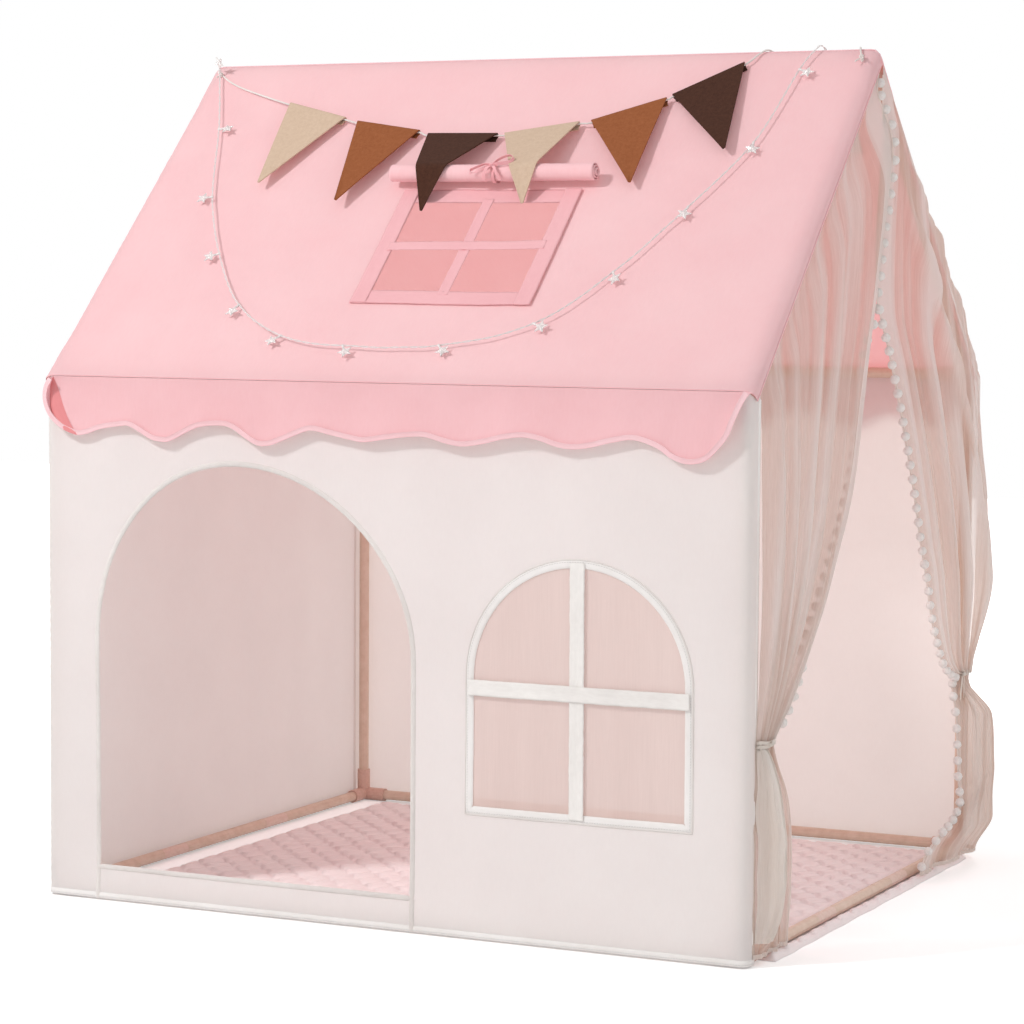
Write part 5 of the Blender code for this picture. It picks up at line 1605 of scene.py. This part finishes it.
def waist_tie(label, side, waist):
    """The ribbon round a curtain's waist, sewn to the post's seam, with its hanging ends."""
    centre = Vector((GABLE_X + 0.0060, side * waist, WAIST_HEIGHT + 0.002))
    flat, deep = band(0.0048, -0.0003, 0.0004), 0.0092
    pieces = []

    def add(kind, path, outs, section=flat, closed=False):
        name = f"tie_{kind.format(label)}"
        pieces.append(sweep(name, RIBBON_PALE, path, outs, section, closed))

    for index, (lift, lean) in enumerate(((0.0, 0.2), (0.0042, -0.35))):
        ring = turned(48, lambda a: centre + Vector((
            deep * cos(a), (WAIST_WIDTH / 2 + 0.001) * sin(a),
            lift + 0.004 * lean * sin(a) + 0.0006 * sin(4 * a),
        )))
        reach = [p - centre for p in ring]
        outs = [Vector((r.x / deep**1.5, r.y / 0.03**1.5, 0)).normalized() for r in reach]
        add(f"ring_{{}}_{index}", ring, outs, closed=True)
    seam_y = HALF_DEPTH - WRAP_LENGTH + 0.004
    seam = Vector((HALF_WIDTH + COVER_OUT + 0.0006, side * seam_y, centre.z + 0.002))
    outer = centre + Vector((0.004, side * WAIST_WIDTH * 0.47, 0.002))
    for index, sag in enumerate((0.0, 0.007)):
        points = [
            outer + Vector((0, 0, -sag / 3)), outer.lerp(seam, 0.5) + Vector((0.0015, 0, -sag)),
            seam + Vector((0, 0, -sag / 2)),
        ]
        add(f"end_{{}}_{index}", route(points, 0.002), Vector((1, 0, 0)))
    inner = -side * (WAIST_WIDTH / 2 - 0.004) if side == REAR else side * 0.006
    place = centre + Vector((0.0085, inner, 0.002))
    knot = turned(18, lambda a: place + Vector((
        0.0034 * cos(a), 0.0042 * sin(a), 0.0015 * sin(2 * a),
    )))
    add("knot_{}", knot, [(p - place).normalized() for p in knot], oval(0.006, 0.0036, 8), True)
    if side == REAR:
        for index, (lean, fall) in enumerate(((-0.030, 0.052), (-0.014, 0.060))):
            steps = ((0, 0, 0), (0.006, 0.55, 0.08), (0.008, 0.95, 0.45), (0.007, 1.05, 1))
            points = [place + Vector((out, lean * y, -fall * z)) for out, y, z in steps]
            add(f"drop_{{}}_{index}", route(points, 0.003), Vector((1, 0.2 * (index - 0.5), 0)))
    return put(joined(f"curtain_{label}_tie", pieces), "tulle")


def tail_point(u, t, side, shape, lift=0.0):
    """A point of the part of a curtain that hangs free below its waist."""
    seed = shape["seed"]
    inner = along(shape["tail"], t)
    wide = CURTAIN_OUTER + (0.008 if side == FRONT else 0.004)
    far = blend(shape["waist"] + WAIST_WIDTH / 2, wide, smooth(0.0, 0.30, t))
    share = u if side == FRONT else u ** blend(1.0, 1.6, smooth(0.6, 1.0, t))
    y = blend(far, inner.x, share)
    z = blend(blend(WAIST_HEIGHT, TAIL_HEM_HEIGHT, t), inner.y, smooth(0.3, 1.0, u))
    grow = smooth(0.0, 0.45, t)
    gathered = 0.009 * pleats(u, 1.0, shape["folds"], seed)
    broad = 0.5 - 0.5 * cos(tau * 2.6 * (u + 0.07 * ripple(u * 3, t * 1.4, seed + 3)))
    if side == FRONT:
        pouch = 0.030 * smooth(0.0, 0.14, u) * smooth(0.5, 0.24, u)
        pouch *= sin(pi * min(1, t * 1.03)) ** 0.6
        out = (1 - grow) * gathered + grow * (0.004 * gathered / 0.009 + 0.007 * broad) + pouch
        out += 0.006 * ripple(u * 6, t * 6, seed + 9) * smooth(0.5, 0.2, u) * grow
    else:
        pouch = 0.048 * smooth(0.0, 0.2, u) * (1 - 0.62 * smooth(0.45, 1.0, u))
        pouch *= smooth(0.0, 0.22, t) * (1 - 0.7 * smooth(0.78, 1.0, t))
        out = (1 - grow) * gathered + grow * (0.004 * gathered / 0.009 + 0.010 * broad) + pouch
    out += 0.0022 * (0.5 + 0.5 * sin(tau * FINE_PLEATS * (u + 0.02 * ripple(u * 9, 1.2, seed + 4))))
    out += 0.001 * ripple(u * 30, t * 7, seed + 4)
    return Vector((GABLE_X - 0.0007 + out + lift, side * y, z))


def tail(label):
    """The part of a curtain below its tie."""
    shape, body = CURTAINS[label], f"{label}_tail"
    side, name = shape["side"], f"curtain_{label}_tail"
    waist = side * shape["waist"]

    def at(u, t, lift=0.0):
        return tail_point(u, t, side, shape, lift)

    piece = grid_sheet(name, TULLE, 220, 60, at, (0.8, 0.3))
    put(piece, "tulle", None, [f"curtain_tail_{label}"])
    hem_path = [at(u, 1.0) + Vector((0, 0, 0.002)) for u in spaced(0, 1, 200)]
    hem = sweep(f"{name}_hem", TULLE_HEM, hem_path, Vector((1, 0, 0)), oval(0.007, 0.0018, 8))
    put(hem, "tulle", body)
    edge = [at(1.0, t) for t in spaced(0.03, 0.99, 60)]
    soft = [piece, braid(name, edge, None)]
    if side == REAR:
        open_way = Vector((0.3, -side, 0.0))
        soft.append(pompons(
            f"{name}_poms", edge, POM_RADIUS, POM_PACE,
            lambda point, ahead: square_to(ahead, open_way), None,
        ))
    else:

        def on_pouch(u, v):
            return at(0.02 + u * (0.36 + 0.05 * ripple(v * 5, 0.4, 87)), v * 0.93, 0.0015)

        pouch = grid_sheet(f"{name}_pouch", SATIN_WITH_PAINTED_HIGHLIGHTS, 70, 60, on_pouch, (0.3, 0.3))
        soft.append(put(pouch, "tulle", None))
    start, end = ((TAIL_X, waist, z) for z in (WAIST_HEIGHT, TAIL_BEND_END))
    for item in soft:
        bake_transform(item)
        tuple(start)
        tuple(end)
    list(soft[1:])


curtain("front")
curtain("rear")
tail("front")
tail("rear")


# Quilted mat

MAT_LENGTH = 1.1365
MAT_WIDTH = 0.91
MAT_SHIFT = 0.04875
MAT_PUFF = 0.0122
MAT_STITCH = 0.0042
MAT_UNDER_TUBE = 0.0024
MAT_FLOOR = 0.0003
SHELL_WIDTH = 0.058
SHELL_RISE = 0.029


def scales(x, y):
    """How far inside the topmost shell a point lies, as a share of a shell's half width."""
    radius = SHELL_WIDTH / 2 * 1.04
    row = floor(y / SHELL_RISE)
    for k in range(row - 1, row + 3):
        shift = (k % 2) * SHELL_WIDTH / 2
        centre_x = round((x - shift) / SHELL_WIDTH) * SHELL_WIDTH + shift
        inner = hypot(x - centre_x, y - k * SHELL_RISE)
        if inner < radius:
            return min(1.0, (radius - inner) / (radius * 0.55))
    return 0.0


def mat():
    """A mat quilted in overlapping shells, pressed down where the base tube crosses it."""

    def place(u, v):
        x = MAT_LENGTH * (u - 0.5) + MAT_SHIFT
        y = MAT_WIDTH * (v - 0.5)
        swing = 0.004 * ripple(x * 7, y * 7, 111)
        puff = scales(y + swing, x + 0.004 * ripple(x * 6, y * 6, 112))
        puff = sqrt(puff * (2 - puff))
        height = MAT_STITCH + (MAT_PUFF - MAT_STITCH) * puff
        height += 0.0012 * ripple(x * 9, y * 9, 113)
        rim = min(MAT_LENGTH / 2 - abs(x - MAT_SHIFT), MAT_WIDTH / 2 - abs(y))
        height *= smooth(-0.004, 0.012, rim)
        under = smooth(0.021, 0.0105, abs(x - HALF_WIDTH))
        cross = smooth(0.0135, 0.0105, abs(x - HALF_WIDTH))
        height = blend(height, min(height, MAT_UNDER_TUBE), max(under * 0.85, cross))
        if x > HALF_WIDTH:
            outside = smooth(HALF_WIDTH + 0.012, HALF_WIDTH + 0.045, x)
            x += 0.004 * ripple(y * 16, 0.2, 114) * outside
        y += 0.003 * ripple(x * 9, v * 2, 115) * abs(2 * v - 1) ** 3
        return Vector((x, y, max(0.0012, height)))

    def close(shape):
        rim = [edge for edge in shape.edges if edge.is_boundary]
        lower = bmesh.ops.extrude_edge_only(shape, edges=rim)["geom"]
        for vertex in (item for item in lower if isinstance(item, bmesh.types.BMVert)):
            vertex.co.z = MAT_FLOOR
        bottom = [item for item in lower if isinstance(item, bmesh.types.BMEdge)]
        bmesh.ops.contextual_create(shape, geom=bottom)
        bmesh.ops.recalc_face_normals(shape, faces=shape.faces)
        for face in shape.faces:
            face.smooth = True

    top = grid_sheet("floor_mat_quilt", QUILT, 250, 196, place, (MAT_LENGTH, MAT_WIDTH))
    put(reshaped(top, close), "quilt", replaces=["floor_mat"])


mat()


# Felt flags

FELT = 0.002
FELT_PACE = 0.006
FLAG_TIP = 0.004
CORD_CLEARANCE = 0.0012
FLAG_TILT = radians(1.2)
ROLL_CLEARANCE = 0.0012
FLAG_HANG = radians(30)


def bent_stations(reach):
    """The felt's line over the rolled cover: (way down the slope, lift) from the cord."""
    radius = COVER_ROLL_RADIUS + CLOTH / 2 + ROLL_CLEARANCE + FELT / 2
    rise = COVER_ROLL_RADIUS + CLOTH / 2 + COVER_ROLL_LIFT - BUNTING_LIFT
    start = asin(radius / hypot(reach, rise)) + atan2(rise, reach)
    line = []
    for step in range(15):
        angle = blend(start, -FLAG_HANG, step / 14)
        line.append((reach - radius * sin(angle), rise + radius * cos(angle)))
    return line


def flag(index, middle, axis, lean):
    """A felt triangle whose top edge is folded over the cord."""
    normal = roof_normal()
    normal = (normal - normal.dot(axis) * axis).normalized()
    up = normal.cross(axis)
    fold = CORD_RADIUS + FELT / 2 + CORD_CLEARANCE
    line = [(0.010 - 0.002 * step, -fold) for step in range(5)]
    line += [(fold * -sin(pi * step / 6), -fold * cos(pi * step / 6)) for step in range(7)]
    seed = 121 + index
    front = len(line)
    bent = abs(middle.x - SKYLIGHT_CENTRE[0]) < COVER_ROLL_WIDTH / 2
    total = FLAG_LENGTH + 0.0018
    if bent:
        eave = roof_point(middle.x, 0, BUNTING_LIFT)
        over = bent_stations((middle - eave).length - COVER_ROLL_RISE)
        x, y = over[0]
        steps = max(2, round(hypot(x, y - fold) / FELT_PACE))
        line += [(x * s / steps, fold + (y - fold) * s / steps) for s in range(1, steps)]
        line += over
        pairs = zip(line[front - 1:], line[front:])
        rest = total - sum(hypot(c - a, d - b) for (a, b), (c, d) in pairs)
        (x, y), slant, steps = line[-1], -FLAG_HANG, round(rest / FELT_PACE)
    else:
        x, y, rest, slant, steps = 0, fold, total, FLAG_TILT, 28
    line += [
        (x + rest * s / steps * cos(slant), y + rest * s / steps * sin(slant))
        for s in range(1, steps + 1)
    ]
    ways = [0.0] * front
    for a, b in zip(line[front - 1:], line[front:]):
        ways.append(ways[-1] + hypot(b[0] - a[0], b[1] - a[1]))
    rows = len(line) - 1

    def place(u, v):
        row = round(v * rows)
        down, lift = line[row]
        share = ways[row] / ways[-1]
        width = blend(FLAG_WIDTH, FLAG_TIP, share) if row >= front - 7 else FLAG_WIDTH * 0.985
        across = (2 * u - 1) * width / 2 + lean * FLAG_WIDTH * share
        curl = 0.0022 * ripple(index * 5 + u * 1.5, share * 1.5, seed) + 0.0014 * abs(2 * u - 1) ** 2
        curl *= share
        if bent:
            curl = max(0.0, curl) * 0.5
        return middle + across * axis - down * up + (lift + curl) * normal

    slot, number = list(FELTS)[index % 3], index + 1
    piece = grid_sheet(f"felt_flag_{number}", FELTS[slot], 14, rows, place, (FLAG_WIDTH, total))
    thickened(piece, FELT * 0.92)
    piece.data.set_sharp_from_angle(angle=radians(50))
    put(piece, slot, f"flag_{number}", [f"bunting_flag_{number}"])


for place_index, (spot, flag_lean) in enumerate(zip(flag_places(), FLAG_LEAN_SHARES)):
    flag(place_index, *spot, flag_lean)


# The frame and the battery box stay as they are in the part, with finer materials

LOOKS = {
    ("post", "rafter", "eave_rail", "base_tube", "ridge_pole"): WOOD,
    ("base_sleeve",): SLEEVE,
    ("base_corner", "eave_connector", "ridge_connector"): CONNECTOR,
    ("light_battery_box",): BOX_PLASTIC,
    ("light_switch",): SWITCH_PLASTIC,
}
for node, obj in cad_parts.items():
    for starts, look in LOOKS.items():
        if node.startswith(starts):
            for place in obj.material_slots:
                place.material = look

boxes = {"cad": cad_box, "visual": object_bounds()}
boxes = {key: [[round(v, 5) for v in corner] for corner in box] for key, box in boxes.items()}
